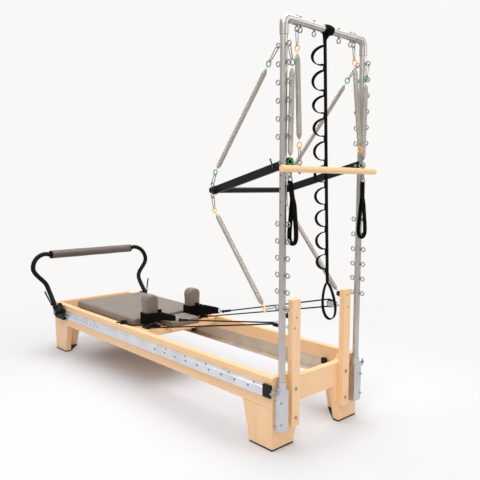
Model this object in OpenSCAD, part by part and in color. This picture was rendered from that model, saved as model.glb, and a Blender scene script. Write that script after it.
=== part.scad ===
// Pilates tower unit: a sprung carriage that rolls in a wooden frame, with a half tower
// at its head end. The foot bar is at -X, the tower at +X. The side at -Y is the near one.
// The origin is on the floor under the middle of the whole machine. Millimetres, +Z up.

/* [Frame] */
// Length of the wooden frame
frame_len = 2362; // [2250:1:2450]
// Width of the wooden frame over its side boards
frame_w = 628; // [610:1:650]
// Height of the frame's top edge above the floor
frame_top = 355.6; // [350:0.1:365]
// Height of a frame board
board_h = 150.6; // [145:0.1:158]
// Thickness of a frame board
board_t = 38; // [34:1:42]
// Depth of the dip in the top of the tower end board
dip = 27; // [15:1:35]

/* [Legs] */
// Width of a leg's side plate under the board
leg_side_top = 206; // [180:1:230]
// Width of a leg's side plate at the floor
leg_side_foot = 160; // [140:1:178]
// Width of a leg's end plate under the board
leg_end_top = 187; // [165:1:210]
// Width of a leg's end plate at the floor
leg_end_foot = 142; // [125:1:160]
// Thickness of a rubber foot pad
pad_t = 8; // [5:1:12]

/* [Rails] */
// Height of the outer rail
rail_h = 57; // [50:1:62]
// Thickness of the outer rail
rail_t = 14; // [10:1:18]
// Height of the outer rail's lower edge above the board's lower edge
rail_low = 59; // [52:1:64]
// Diameter of the outer rail's round holes
rail_hole_d = 11; // [8:0.5:12]
// Spacing of the holes at the tower end
hole_step = 101.6; // [90:0.1:110]
// Spacing of the holes at the foot end
fine_step = 50.8; // [45:0.1:55]
// Height of the inner rail's wall
track_h = 77; // [70:1:84]
// Width of the inner rail's wheel track
track_w = 42; // [38:1:48]
// Wall thickness of the inner rail
track_t = 6; // [4:0.5:8]

/* [Carriage] */
// Length of the carriage deck
deck_len = 886; // [840:1:920]
// Thickness of the deck
deck_t = 18; // [15:1:20]
// Gap between the foot end board's outer face and the carriage at rest
home_gap = 315; // [290:1:340]
// Length of the mattress
mat_len = 734; // [690:1:745]
// Thickness of the mattress
mat_t = 52; // [40:1:60]
// Width of the mattress
mat_w = 538; // [500:1:544]
// Diameter of a running wheel
wheel_d = 50; // [44:1:54]
// Width of a running wheel
wheel_w = 22; // [16:1:24]
// Diameter of a running wheel's axle
axle_d = 10; // [8:1:12]

/* [Shoulder rests and headrest] */
// Size of a shoulder rest along the machine
rest_l = 66; // [56:1:72]
// Size of a shoulder rest across the machine
rest_w = 88; // [76:1:94]
// Height of a shoulder rest's top above the deck
rest_h = 196; // [170:1:220]
// Distance of a shoulder rest's middle from the machine's middle
rest_y = 163; // [160:1:168]
// Length of the headrest cushion
head_l = 177; // [160:1:190]
// Width of the headrest cushion
head_w = 228; // [200:1:232]
// Thickness of the headrest cushion
head_t = 40; // [30:1:48]
// Height of a shoulder rest's webbing band
band_h = 54; // [40:1:64]

/* [Foot bar] */
// Diameter of the foot bar's tube
foot_tube = 32; // [28:1:34]
// Diameter of the foot bar's padded grip
foot_pad_d = 52; // [44:1:58]
// Length of the padded grip
foot_pad_l = 636; // [600:1:640]
// Diameter of the foot bar's pivot pin
foot_pin_d = 12; // [10:1:14]
// Diameter of the foot bar's hub
foot_hub_d = 46; // [40:1:50]

/* [Tower] */
// Diameter of an upright and of the crossbar
tower_tube = 32; // [30:1:34]
// Wall thickness of the tower's tubes
tower_wall = 2.5; // [2:0.5:4]
// Distance of an upright's axis from the machine's middle
tower_y = 275; // [270:1:280]
// Distance of an upright's axis from the frame's end face
tower_out = 22; // [20:1:25]
// Height of the crossbar's axis above the floor
tower_top = 1934; // [1900:1:1980]
// Outer diameter of an elbow
elbow_d = 38; // [37:1:42]
// Spacing of the eye bolts
eye_step = 76.2; // [70:0.1:78]
// Number of eye bolts in each of an upright's two rows
eye_count = 6; // [2:1:6]
// Mean radius of an eye bolt's ring
eye_r = 10.5; // [9:0.5:12]
// Wire radius of an eye bolt's ring
eye_wire = 3; // [2.5:0.5:3.5]
// Distance of an eye's centre from the tube's axis
eye_out = 33; // [31:1:36]
// Width of a riser post
riser_w = 52; // [44:1:58]
// Thickness of a riser post
riser_t = 30; // [26:1:34]

/* [Springs and clips] */
// Outer diameter of a tower spring
spring_d = 25; // [20:1:28]
// Wire diameter of a tower spring
spring_wire = 2.6; // [2:0.1:3.2]
// Number of curls in each tower spring
curls = 7; // [4:1:7]
// Mean radius of a spring's coloured ring
tag_r = 13; // [11:0.5:14]
// Wire radius of a coloured ring and of a snap hook
clip_wire = 2; // [1.8:0.1:2.1]
// Half width of a snap hook
hook_r = 5.5; // [5.3:0.1:6]

/* [Bars and loops] */
// Diameter of the push-through bar's crosspiece
push_d = 29; // [26:1:32]
// Height of the push-through bar's flat arms
arm_h = 38; // [32:1:42]
// Thickness of the push-through bar's flat arms
arm_t = 12; // [8:1:12]
// Diameter of the push-through bar's pivot pins
pivot_d = 10; // [8:1:12]
// Diameter of the wooden roll-down bar
dowel_d = 30; // [26:1:31]
// Length of the wooden roll-down bar
dowel_l = 664; // [640:1:720]
// Width of the hand loops' webbing
loop_w = 26; // [20:1:27]
// Diameter of the carriage ropes
rope_d = 6; // [5:0.5:6.5]
// Diameter of a rope pulley's wheel
pulley_d = 41; // [38:1:42]

/* [Hidden] */
$fn = 32;

wood = "burlywood";
black = [0.09, 0.09, 0.10];
steel = "silver";
alloy = [0.68, 0.70, 0.74];
taupe = [0.66, 0.61, 0.56];
gap = 0.3;
run = 0.05;
tiny = 0.02;

// Ends and sides of the wooden frame. The frame sits a little towards the foot end,
// because the tower stands out past its head end.
mid_x = -34;
x1 = mid_x + frame_len / 2;
x0 = mid_x - frame_len / 2;
side_y = frame_w / 2;
in_y = side_y - board_t;
board_z = frame_top - board_h;

// Rails
rail_z = board_z + rail_low;
rail_x0 = x0 + 66;
rail_x1 = x1 - 51;
hole_z = rail_z + 27;
lip_z = rail_z + rail_h - 15;
lip_t = rail_t - 6;
track_z = board_z - 2;
track_x0 = x0 + board_t;
track_x1 = x1 - board_t;
wall_y = in_y - track_t;

// Carriage
deck_x0 = x0 + home_gap;
deck_x1 = deck_x0 + deck_len;
batten_h = 24;
axle_z = track_z + track_t + run + wheel_d / 2;
deck_z = axle_z + 95;
deck_top = deck_z + deck_t;
deck_y = in_y - 8;
wheel_y = wall_y - 8 - wheel_w;
foot_wheel_x = deck_x0 + 80;
head_wheel_x = deck_x1 - 246;
mat_x1 = deck_x0 + mat_len;
rest_x = mat_x1 + 5 + rest_l / 2;
notch_x = mat_x1 + 7;
notch_y = head_w / 2 + 13;
band_z = deck_top + 33;
ring_x = deck_x1 + 176;
ring_z = deck_top + 91;
cleat_x = deck_x1 - 63;
cleat_y = 222;
cleat_z = deck_top + 10;

// Foot bar
pivot_x = x0 + 175;
pivot_z = rail_z + 48;
cheek_y = side_y + rail_t + 1;
cheek_t = 16;
hub_y0 = side_y + 46;
hub_w = 28;
grip_x = x0 + 7;
grip_z = pivot_z + 401;

// Tower
ux = x1 + tower_out;
tube_r = tower_tube / 2;
elbow_r = 28;
elbow_leg = 70;
eye_top = tower_top - 109;
eye_low = tower_top - 870;
foot_z = 108;
bracket_z0 = 102;
bracket_z1 = 338;
riser_y = 187;
riser_z0 = 97;
riser_z1 = 712;
bar_eyes = [197, 174, 86];
push_pivot_z = tower_top - 601;
arm_y = tower_y - tube_r - 7 - arm_t;
push_x = ux - 514;
push_z = push_pivot_z - 126;
push_half = arm_y + arm_t + 22.5;
clip_y = arm_y + arm_t + 10.5;
dowel_x = ux + tube_r + 31;
dowel_y = 219;
dowel_z = tower_top - 629;
arm_low_z = tower_top - 600;
loop_x = ux + 38;
loop_y = tower_y - 25;

// Pulleys
pulley_x = x1 - 91;
pulley_y = 198;
near_pulley_z = 577;
far_pulley_z = 620;
near_knob_z = near_pulley_z + 50;
far_knob_z = far_pulley_z + 64;
stem_d = 12;
knob_d = 10;
groove_r = pulley_d / 2 - 4.5;
wrap_r = groove_r + rope_d / 2 + 0.4;

function unit(v) = v / norm(v);
function along(p, i) = unit(p[min(i + 1, len(p) - 1)] - p[max(i - 1, 0)]);
function lerp(a, b, t) = a + (b - a) * t;

// Faces of a skin over rings of points, with an end cap on each side
function skin(rings, n) = concat(
    [[for (k = [0:n - 1]) k]],
    [for (i = [0:rings - 2], k = [0:n - 1]) [i * n + k, (i + 1) * n + k, (i + 1) * n + (k + 1) % n]],
    [for (i = [0:rings - 2], k = [0:n - 1]) [i * n + k, (i + 1) * n + (k + 1) % n, i * n + (k + 1) % n]],
    [[for (k = [n - 1:-1:0]) (rings - 1) * n + k]]);

// Faces of a skin whose last ring joins its first
function hoop(rings, n) = concat(
    [for (i = [0:rings - 1], k = [0:n - 1])
        [i * n + k, (i + 1) % rings * n + k, (i + 1) % rings * n + (k + 1) % n]],
    [for (i = [0:rings - 1], k = [0:n - 1])
        [i * n + k, (i + 1) % rings * n + (k + 1) % n, i * n + (k + 1) % n]]);

// A round tube along a route. The side vector is never along the route.
module tube_along(route, d, side, n = 8) {
    points = [for (i = [0:len(route) - 1])
        let (t = along(route, i), u = unit(cross(t, side)), w = cross(t, u))
        for (k = [0:n - 1]) route[i] + d / 2 * (cos(360 * k / n) * u + sin(360 * k / n) * w)];
    polyhedron(points, skin(len(route), n));
}

// A flat strap along a route that keeps its width along one direction
module strap_along(route, thick, width, across, closed = false) {
    n = len(route);
    function heading(i) = closed ? unit(route[(i + 1) % n] - route[(i + n - 1) % n]) : along(route, i);
    function half(i) = (is_list(thick) ? thick[i] : thick) / 2;
    function wide(i) = (is_list(width) ? width[i] : width) / 2;
    points = [for (i = [0:n - 1])
        let (t = heading(i), w = across, u = unit(cross(w, t)))
        for (c = [[1, -1], [1, 1], [-1, 1], [-1, -1]]) route[i] + c[0] * half(i) * u + c[1] * wide(i) * w];
    polyhedron(points, closed ? hoop(n, 4) : skin(n, 4));
}

// A round bar between two points
module rod(p, q, d) {
    v = q - p;
    translate(p) rotate([0, acos(v[2] / norm(v)), atan2(v[1], v[0])]) cylinder(h = norm(v), d = d);
}

module pin_x(x, y, z, l, d) translate([x, y, z]) rotate([0, 90, 0]) cylinder(h = l, d = d);

module pin_y(x, y, z, l, d) translate([x, y, z]) rotate([-90, 0, 0]) cylinder(h = l, d = d);

module block(x, y, z, l, w, h) translate([x, y, z]) cube([l, w, h]);

// The children on the far side and again, mirrored, on the near side
module both_sides() {
    children();
    mirror([0, 1, 0]) children();
}

module near_side() mirror([0, 1, 0]) children();

// A rectangle with round corners
module round_rect(w, h, r) {
    square([w - 2 * r, h], center = true);
    square([w, h - 2 * r], center = true);
    for (i = [-1, 1], j = [-1, 1]) translate([i * (w / 2 - r), j * (h / 2 - r)]) circle(r);
}

// An upholstered cushion: a round-cornered outline that draws in between its corners,
// with levels of [inset, height] from its flat bottom up to the top of its crown
module cushion(l, w, levels, draw, m = 5) {
    rim = [for (s = [0:3], i = [0:m - 1])
        let (a = 2 * i / m - 1, c = [[1, a], [-a, 1], [-1, -a], [a, -1]][s])
        c / pow(pow(abs(c[0]), 7) + pow(abs(c[1]), 7), 1 / 7)];
    points = [for (v = levels, c = rim)
        [c[0] * (l / 2 - v[0]) - sign(c[0]) * draw * pow(abs(c[0]), 6) * (1 - pow(c[1], 2)),
         c[1] * (w / 2 - v[0]) - sign(c[1]) * draw * pow(abs(c[1]), 6) * (1 - pow(c[0], 2)), v[1]]];
    polyhedron(points, skin(len(levels), len(rim)));
}

// Levels of a cushion with round edges and a crown that rises in the middle
function pad_levels(h, edge, crown, inner) = [[edge, 0], [edge * 0.3, edge * 0.4], [0, h * 0.5],
    [edge * 0.3, h - edge * 0.4], [edge, h], [edge + inner * 0.4, h + crown * 0.7],
    [edge + inner, h + crown]];

// One end's ring of a chain: a torus in the plane of the chain and the vertical
module tag_ring(p, q) at_end(p, q) rotate([90, 0, 0])
    rotate_extrude($fn = 24) translate([tag_r, 0]) circle(clip_wire, $fn = 16);

// Places its children at q, with +Z along the line from p to q and +Y as near to level as it can be
module at_end(p, q) {
    e = unit(q - p);
    a = unit(cross([0, 1, 0], e));
    b = cross(e, a);
    multmatrix([[a[0], b[0], e[0], q[0]], [a[1], b[1], e[1], q[1]], [a[2], b[2], e[2], q[2]]]) children();
}

// A closed snap hook from an eye of inner radius a at p to a ring at q
module snap_hook(p, q, a = eye_r - eye_wire) {
    top = -norm(q - p) + a - clip_wire - gap + hook_r;
    low = -(tag_r - 2 * clip_wire - gap) - hook_r;
    at_end(p, q) rotate([90, 0, 90]) {
        for (s = [[low, 0], [top, 180]]) translate([0, s[0], 0]) rotate([0, 0, s[1]])
            rotate_extrude(angle = 180, $fn = 24) translate([hook_r, 0]) circle(clip_wire, $fn = 16);
        for (s = [-1, 1]) translate([s * hook_r, top, 0]) rotate([-90, 0, 0])
            cylinder(h = low - top, r = clip_wire, $fn = 16);
    }
}

// Where a hook's line crosses the middle of an eye at p, so that it pulls on the eye's wire toward q
function hang(p, q) = let (w = p + eye_r * unit([q[0] - p[0], 0, q[2] - p[2]])) w + eye_r * unit(w - q);

// A snap hook and its coloured ring, from an eye at p to the ring at q
module clip(p, q, colour) {
    color(steel) snap_hook(hang(p, q), q);
    color(colour) tag_ring(hang(p, q), q);
}

// Route of a coil spring along +Z: straight ends, curls that open out from the axis and close again
function coil_route(l) =
    let (lead = 8, run_l = l - 2 * lead, n = 8 * curls)
    concat([[0, 0, 0], [0, 0, lead * 0.5]],
        [for (i = [0:n])
            let (t = i / n, r = (spring_d - spring_wire) / 2 * min(1, t * curls, (1 - t) * curls))
            [r * cos(45 * i), r * sin(45 * i), lead + run_l * t]],
        [[0, 0, l - lead * 0.5], [0, 0, l]]);

// Least gap between a coil and its next curl
function coil_gap(route) = min([for (i = [2:len(route) - 11]) norm(route[i + 8] - route[i])]) - spring_wire;

// A spring between two coloured rings: each end stops at the ring's outer edge
module coil_spring(p, q) {
    seat = tag_r + clip_wire + gap;
    l = norm(q - p) - 2 * seat;
    route = coil_route(l);
    v = q - p;
    echo(least_gap = coil_gap(route));
    n = 6;
    points = [for (i = [0:len(route) - 1])
        let (t = along(route, i), a = 45 * max(0, min(8 * curls, i - 2)), r0 = [cos(a), sin(a), 0],
             w = unit(cross(t, r0)), u = cross(w, t))
        for (k = [0:n - 1]) route[i] + spring_wire / 2 * (cos(360 * k / n) * u + sin(360 * k / n) * w)];
    translate(p) rotate([0, acos(v[2] / norm(v)), atan2(v[1], v[0])])
        translate([0, 0, seat]) polyhedron(points, skin(len(route), n));
}

// Centres of the coloured rings on the far side
push_eye_up = [ux - eye_out, tower_y, eye_top];
push_ring_1 = [ux - 94, tower_y - 1, eye_top - 66];
push_ring_2 = [push_x + 24, clip_y, push_z + 88];
bar_eye_up = [push_x, clip_y, push_z + push_d / 2 + 14];
push_eye_low = [ux - eye_out, tower_y, eye_low - 5 * eye_step];
push_ring_3 = [ux - 117, tower_y - 3, push_eye_low[2] - 24];
push_ring_4 = [push_x + 14, clip_y, push_z - 100];
bar_eye_low = [push_x, clip_y, push_z - push_d / 2 - 14];
roll_eye = [ux, bar_eyes[0], tower_top - eye_out];
dowel_eye = [dowel_x, dowel_y, dowel_z + dowel_d / 2 + 14];
roll_ring_1 = lerp(roll_eye, dowel_eye, 0.14);
roll_ring_2 = lerp(roll_eye, dowel_eye, 0.87);
arm_eye = [ux + eye_out, tower_y, eye_top];
arm_ring_1 = [ux + 34, tower_y - 17, eye_top - 74];
arm_ring_2 = [ux + 28, tower_y - 15.2, arm_low_z];
loop_eye = [ux + 30, tower_y - 15, arm_low_z - 72];

module side_boards() color(wood) both_sides()
    translate([x0, in_y + board_t / 2, board_z + board_h / 2]) rotate([90, 0, 90])
        linear_extrude(frame_len) round_rect(board_t, board_h, 3);

module end_boards() color(wood) {
    block(x0, -in_y, board_z, board_t, 2 * in_y, board_h);
    translate([x1 - board_t, 0, 0]) rotate([90, 0, 90]) linear_extrude(board_t) difference() {
        translate([-in_y, board_z]) square([2 * in_y, board_h]);
        translate([0, frame_top]) round_rect(2 * riser_y, 2 * dip, dip - 2);
    }
}

// One leg is two plates at right angles that taper towards the floor
module leg() {
    translate([x0, side_y, 0]) rotate([90, 0, 0]) linear_extrude(board_t)
        polygon([[0, pad_t], [leg_side_foot, pad_t], [leg_side_top, board_z], [0, board_z]]);
    translate([x0, 0, 0]) rotate([90, 0, 90]) linear_extrude(board_t)
        polygon([[side_y, pad_t], [side_y - leg_end_foot, pad_t], [side_y - leg_end_top, board_z],
            [side_y, board_z]]);
}

module legs() color(wood) both_sides() {
    leg();
    translate([2 * mid_x, 0, 0]) mirror([1, 0, 0]) leg();
}

module foot_pad() translate([x0, side_y, 0]) linear_extrude(pad_t)
    polygon([[0, 0], [leg_side_foot, 0], [leg_side_foot, -board_t], [board_t, -leg_end_foot],
        [0, -leg_end_foot]]);

module foot_pads() color(black) both_sides() {
    foot_pad();
    translate([2 * mid_x, 0, 0]) mirror([1, 0, 0]) foot_pad();
}

// Hole positions along the outer rail, from the tower end and from the foot end
tower_holes = [for (k = [0:8]) x1 - 153 - k * hole_step];
foot_holes = concat([for (k = [0:7]) x0 + 347 + k * fine_step], [x0 + 291, x0 + 222]);

module outer_rails() color(alloy) both_sides() difference() {
    translate([rail_x0, side_y, rail_z]) rotate([90, 0, 90]) linear_extrude(rail_x1 - rail_x0)
        polygon([[0, 0], [rail_t, 0], [rail_t, rail_h - 15], [rail_t - 6, rail_h - 12],
            [rail_t - 6, rail_h], [0, rail_h]]);
    for (x = concat(tower_holes, foot_holes)) pin_y(x, side_y - 1, hole_z, rail_t + 2, rail_hole_d);
}

module rail_end_caps() color(black) both_sides() {
    translate([rail_x1, side_y, rail_z + rail_h / 2]) rotate([90, 0, 90]) linear_extrude(50)
        translate([(rail_t + 1) / 2, 0]) round_rect(rail_t + 1, rail_h + 4, 3);
    translate([rail_x0 - 8, side_y, rail_z + rail_h / 2]) rotate([90, 0, 90]) linear_extrude(8)
        translate([(rail_t + 1) / 2, 0]) round_rect(rail_t + 1, rail_h + 4, 3);
}

// Each rail is a wall plate with the track plate that the wheels run on against its foot
module inner_rails() color(taupe) both_sides() {
    difference() {
        block(track_x0, wall_y, track_z, track_x1 - track_x0, track_t, track_h);
        for (x = [x1 - 939, x0 + 500]) pin_y(x, wall_y - 1, track_z + 50, track_t + 2, 9);
    }
    block(track_x0, in_y - track_w, track_z, track_x1 - track_x0, track_w - track_t - tiny, track_t);
}

module rail_stops() color(black) both_sides()
    block(x1 - 196, wall_y - 20, track_z + 55, 26, 20 - tiny, 30);

module spring_bar() color(black) {
    bar_x = x0 + 122;
    block(bar_x, -wall_y + tiny, axle_z + 6, 12, 2 * (wall_y - tiny), 40);
    for (k = [-2:2]) pin_x(bar_x + 12, 80 * k, axle_z + 28, 9, 8);
}

module carriage_springs() color(steel) for (k = [-2:2]) {
    y = 80 * k;
    pin_x(x0 + 143 + gap, y, axle_z + 28, 30, 6);
    pin_x(x0 + 173 + gap, y, axle_z + 28, 340, 28);
    pin_x(x0 + 513 + gap, y, axle_z + 28, 30 - 2 * gap, 6);
}

module uprights() color(steel) both_sides() difference() {
    translate([ux, tower_y, foot_z]) cylinder(h = tower_top - elbow_r - 3 - foot_z, r = tube_r);
    translate([ux, tower_y, foot_z - 1]) cylinder(h = tower_top, r = tube_r - tower_wall);
    for (z = eye_heights()) pin_x(ux - tube_r - 1, tower_y, z, tower_tube + 2, 2 * eye_wire + 2 * run);
    pin_y(ux, tower_y - tube_r - 1, push_pivot_z, tower_tube + 2, pivot_d + 2 * run);
    for (k = [1:4]) pin_y(ux, tower_y, push_pivot_z - 57 * k, tube_r + 1, 7);
}

function eye_heights() = [for (k = [0:eye_count - 1], z = [eye_top, eye_low]) z - k * eye_step];

// A short-radius elbow with a socket at each end
module elbow() difference() {
    translate([ux, tower_y - elbow_r, tower_top - elbow_r]) union() {
        rotate([0, -90, 0]) rotate([0, 0, 0]) rotate_extrude(angle = 90) translate([elbow_r, 0])
            circle(d = elbow_d);
        translate([0, elbow_r, -(elbow_leg - elbow_r)]) cylinder(h = elbow_leg - elbow_r, d = elbow_d);
        translate([0, 0, elbow_r]) rotate([90, 0, 0]) cylinder(h = elbow_leg - elbow_r, d = elbow_d);
    }
    translate([ux, tower_y, tower_top - elbow_leg - 1])
        cylinder(h = elbow_leg - elbow_r - 2 + run, r = tube_r + run);
    pin_y(ux, tower_y - elbow_leg - 1, tower_top, elbow_leg - elbow_r - 2 + run, tower_tube + 2 * run);
}

module elbows() color(steel) both_sides() elbow();

module crossbar() color(steel) {
    half = tower_y - elbow_r - 3;
    difference() {
        pin_y(ux, -half, tower_top, 2 * half, tower_tube);
        pin_y(ux, -half - 1, tower_top, 2 * half + 2, tower_tube - 2 * tower_wall);
        for (y = bar_eyes, s = [-1, 1]) translate([ux, s * y, tower_top - tube_r - 1])
            cylinder(h = tower_tube + 2, r = eye_wire + run);
    }
}

module eye_ring() rotate([90, 0, 0]) rotate_extrude($fn = 24) translate([eye_r, 0])
    circle(eye_wire, $fn = 16);

// Eye bolts go right through the tubes, with a nut or collar at each face
module eye_bolts() color(steel) both_sides() {
    for (z = eye_heights()) translate([ux, tower_y, z]) {
        for (s = [-1, 1]) {
            translate([s * eye_out, 0, 0]) eye_ring();
            translate([s * (tube_r + 2 + tiny), 0, 0]) rotate([0, 90, 0])
                cylinder(h = 4, r = 5.5, center = true, $fn = 16);
        }
        pin_x(-eye_out + eye_r, 0, 0, 2 * (eye_out - eye_r), 2 * eye_wire);
    }
    for (y = bar_eyes) translate([ux, y, tower_top]) {
        translate([0, 0, -eye_out]) eye_ring();
        translate([0, 0, -eye_out + eye_r]) cylinder(h = eye_out - eye_r + tube_r + 9, r = eye_wire);
        translate([0, 0, tube_r + tiny]) cylinder(h = 6, r = 5.5, $fn = 16);
        translate([0, 0, -tube_r - 4 - tiny]) cylinder(h = 4, r = 5.5, $fn = 16);
    }
}

module tower_brackets() color(alloy) both_sides() difference() {
    union() {
        translate([x1 + 21, tower_y, bracket_z0]) linear_extrude(bracket_z1 - 38 - bracket_z0)
            round_rect(42, 56, 3);
        translate([ux, tower_y, bracket_z0]) cylinder(h = bracket_z1 - bracket_z0, d = 43);
        block(x1, tower_y - 12, bracket_z0, 20, 24, bracket_z1 - bracket_z0);
        block(ux - 8, tower_y + 10, bracket_z1 - 55, 16, 22, 26);
    }
    translate([ux, tower_y, foot_z - run]) cylinder(h = bracket_z1, r = tube_r + run);
    pin_y(ux, tower_y + tube_r - 1, bracket_z1 - 42, 30, 8 + 2 * run);
    for (z = [bracket_z0 + 24, bracket_z1 - 86]) {
        pin_y(x1 + 11, tower_y + 22, z, 8, 7);
        block(x1 - 1, tower_y + 25, bracket_z0 - 1, 3, 5, bracket_z1);
    }
}

// The wooden posts that carry the rope pulleys
module riser(stem_z, knob_z) difference() {
    translate([x1, riser_y, (riser_z0 + riser_z1) / 2]) rotate([90, 0, 90]) linear_extrude(riser_t)
        round_rect(riser_w, riser_z1 - riser_z0, 2);
    pin_x(x1 - 1, pulley_y, stem_z, riser_t + 2, stem_d + 2 * run);
    pin_x(x1 - 1, riser_y, knob_z, riser_t + 2, knob_d + 2 * run);
}

module risers() color(wood) {
    near_side() riser(near_pulley_z, near_knob_z);
    riser(far_pulley_z, far_knob_z);
}

module bolts() color(steel) both_sides() {
    for (z = [140, 283]) pin_x(x1 + riser_t + tiny, riser_y, z, 5, 16);
    for (z = [140, 245]) pin_x(x1 + 42 + tiny, tower_y + 22, z, 5, 10);
    for (k = [0:4]) pin_y(x1 - 119 - 185 * k, side_y + lip_t + tiny, rail_z + rail_h - 7, 2.5, 9);
    pin_y(ux, arm_y - 2, push_pivot_z, tower_y + tube_r - arm_y + 4, pivot_d);
    pin_y(ux, tower_y + tube_r + tiny, push_pivot_z, 5, 18);
    pin_y(ux, arm_y - 5, push_pivot_z, 5 - 2 * run, 18);
    pin_y(ux, arm_y + arm_t + 2 * run, push_pivot_z, 7 - 2 * run - tiny, 18);
}

module green_clips() both_sides() {
    clip(push_eye_up, push_ring_1, "seagreen");
    clip(arm_eye, arm_ring_1, "seagreen");
    clip(loop_eye, arm_ring_2, "seagreen");
}

module yellow_clips() both_sides() {
    clip(push_eye_low, push_ring_3, "orange");
    clip(roll_eye, roll_ring_1, "orange");
}

module push_bar_springs() color(steel) both_sides() {
    coil_spring(push_ring_1, push_ring_2);
    coil_spring(push_ring_3, push_ring_4);
}

module roll_down_springs() color(steel) both_sides() coil_spring(roll_ring_1, roll_ring_2);

module arm_springs() color(steel) both_sides() coil_spring(arm_ring_1, arm_ring_2);

// Ladder strap: webbing wound on the crossbar, a long strap and a second one sewn to it in bights
ladder_x = ux - 3;
ladder_y = -9;
ladder_turn = 225;
ladder_lean = 0.018;
ladder_joints = [1877, 1769, 1656, 1554, 1449, 1339, 1238, 1134, 1029, 921, 825];
ladder_foot = 771;
strap_t = 3;
strap_w = 25;

function bight(z1, z2, depth) = [for (k = [0:7]) let (a = 180 * k / 8)
    [1.2 * strap_t + gap + depth * pow(sin(a), 0.8), 0, lerp(z1, z2, (1 - cos(a)) / 2)]];

module ladder_strap() color(black) {
    difference() {
        pin_y(ux, -38, tower_top, 76, tower_tube + 9);
        pin_y(ux, -39, tower_top, 78, tower_tube + 2 * gap);
    }
    translate([ladder_x, ladder_y, 0]) rotate([0, 0, ladder_turn])
    multmatrix([[1, 0, ladder_lean, -ladder_lean * tower_top], [0, 1, 0, 0], [0, 0, 1, 0]]) {
        strap_along([for (z = [tower_top - tube_r - 5, 1500, 1100, ladder_foot - 2]) [0, 0, z]],
            strap_t, strap_w, [0, 1, 0]);
        bights = concat([for (k = [0:9])
            each bight(ladder_joints[k] - 12, ladder_joints[k + 1] + 12, 55 - 1.3 * k)],
            [[1.2 * strap_t + gap, 0, ladder_joints[10]]]);
        strap_along(bights, strap_t, strap_w, [0, 1, 0]);
        foot = [for (k = [0:16]) let (a = 360 * k / 16)
            [31 * sin(a) * (1 - 0.35 * cos(a)) - 6 * (1 - cos(a)), 0, ladder_foot - 88 * (1 - cos(a))]];
        strap_along(foot, strap_t, strap_w, [0, 1, 0]);
    }
}

// A clamp screw: a threaded stem with a cross handle
module clamp_screw() color(steel) {
    pin_y(ux, tower_y + tube_r + gap, bracket_z1 - 42, 42, 8);
    translate([ux, tower_y + tube_r + 46, bracket_z1 - 42]) {
        rotate([-90, 0, 0]) translate([0, 0, -4]) cylinder(h = 12, d = 14);
        cylinder(h = 36, d = 7, center = true);
    }
}

module near_clamp_screw() near_side() clamp_screw();

module far_clamp_screw() clamp_screw();

// A rope pulley around its wheel's centre, with the wheel's axis along +Z and its stem along +X
module pulley_block() color(alloy) difference() {
    union() {
        for (s = [-1, 1]) translate([0, 0, s * 9.7]) linear_extrude(3, center = true) union() {
            circle(14);
            translate([0, -14]) square([pulley_d / 2 + 18, 28]);
        }
        block(pulley_d / 2 + 4, -14, -11.2, 14, 28, 22.4);
        translate([0, 0, -13]) cylinder(h = 26, d = 8);
        pin_x(pulley_d / 2 + 17, 0, 0, x1 - pulley_x - pulley_d / 2 - 1, stem_d);
        pin_x(x1 - pulley_x - 5 - gap, 0, 0, 5, 32);
    }
}

module pulley_wheel() color(black) rotate_extrude($fn = 48) difference() {
    translate([4 + run, -7.5]) square([pulley_d / 2 - 4 - run, 15]);
    translate([groove_r + 6.2, 0]) circle(r = 6.2);
}

module pulley_knob() color(black) {
    pin_x(-34, 0, 0, 24, 26);
    pin_x(-10, 0, 0, 28, knob_d);
}

module near_pulley() translate([pulley_x, -pulley_y, near_pulley_z]) children();

module far_pulley() translate([pulley_x, pulley_y, far_pulley_z]) rotate([90, 0, 0]) children();

module near_pulley_block() near_pulley() pulley_block();

module far_pulley_block() far_pulley() pulley_block();

module near_pulley_wheel() near_pulley() pulley_wheel();

module far_pulley_wheel() far_pulley() pulley_wheel();

module near_pulley_knob() translate([x1, -riser_y, near_knob_z]) pulley_knob();

module far_pulley_knob() translate([x1, riser_y, far_knob_z]) pulley_knob();

module carriage_deck() color(wood) translate([0, 0, deck_z]) linear_extrude(deck_t) difference() {
    translate([(deck_x0 + deck_x1) / 2, 0]) round_rect(deck_len, 2 * deck_y, 12);
    translate([notch_x, -notch_y]) square([deck_len, 2 * notch_y]);
}

anchor_x = x0 + 543;

module deck_battens() color(wood) {
    for (x = [deck_x0 + 8, deck_x1 - 40])
        block(x, -deck_y + 6, deck_z - batten_h, 40, 2 * deck_y - 12, batten_h - tiny);
    block(anchor_x, -190, axle_z + 14, 30, 380, deck_z - axle_z - 14 - tiny);
}

module mattress() color(taupe) translate([(deck_x0 + mat_x1) / 2, 0, deck_top + gap])
    cushion(mat_len, mat_w, pad_levels(mat_t - 6, 14, 6, 90), 5);

module shoulder_rests() color(taupe) both_sides() translate([rest_x, rest_y, deck_top + 5 + gap])
    difference() {
        cushion(rest_l, rest_w, pad_levels(rest_h - 11, 16, 6, 10), 3);
        translate([0, 0, -1]) cylinder(h = 130, d = 16.8);
    }

module rest_posts() color(black) both_sides() translate([rest_x, rest_y, deck_top + tiny]) {
    translate([-rest_l / 2, -30, 0]) cube([rest_l + 46, 60, 5]);
    cylinder(h = 126, d = 16);
}

module wheel_bracket(x) {
    block(x - 30, wheel_y - 14, deck_z - 12, 60, wheel_w + 12, 12 - tiny);
    block(x - 18, wheel_y - 14, axle_z - 14, 36, 10, deck_z - axle_z + 8);
    pin_y(x, wheel_y - 5, axle_z, wheel_w + 8, axle_d);
    pin_y(x, wheel_y - 4 - run, axle_z, 4, 16);
    pin_y(x, wheel_y + wheel_w + run, axle_z, 3, 16);
}

module wheel_brackets() color(alloy) both_sides() {
    wheel_bracket(foot_wheel_x);
    wheel_bracket(head_wheel_x);
}

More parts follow.
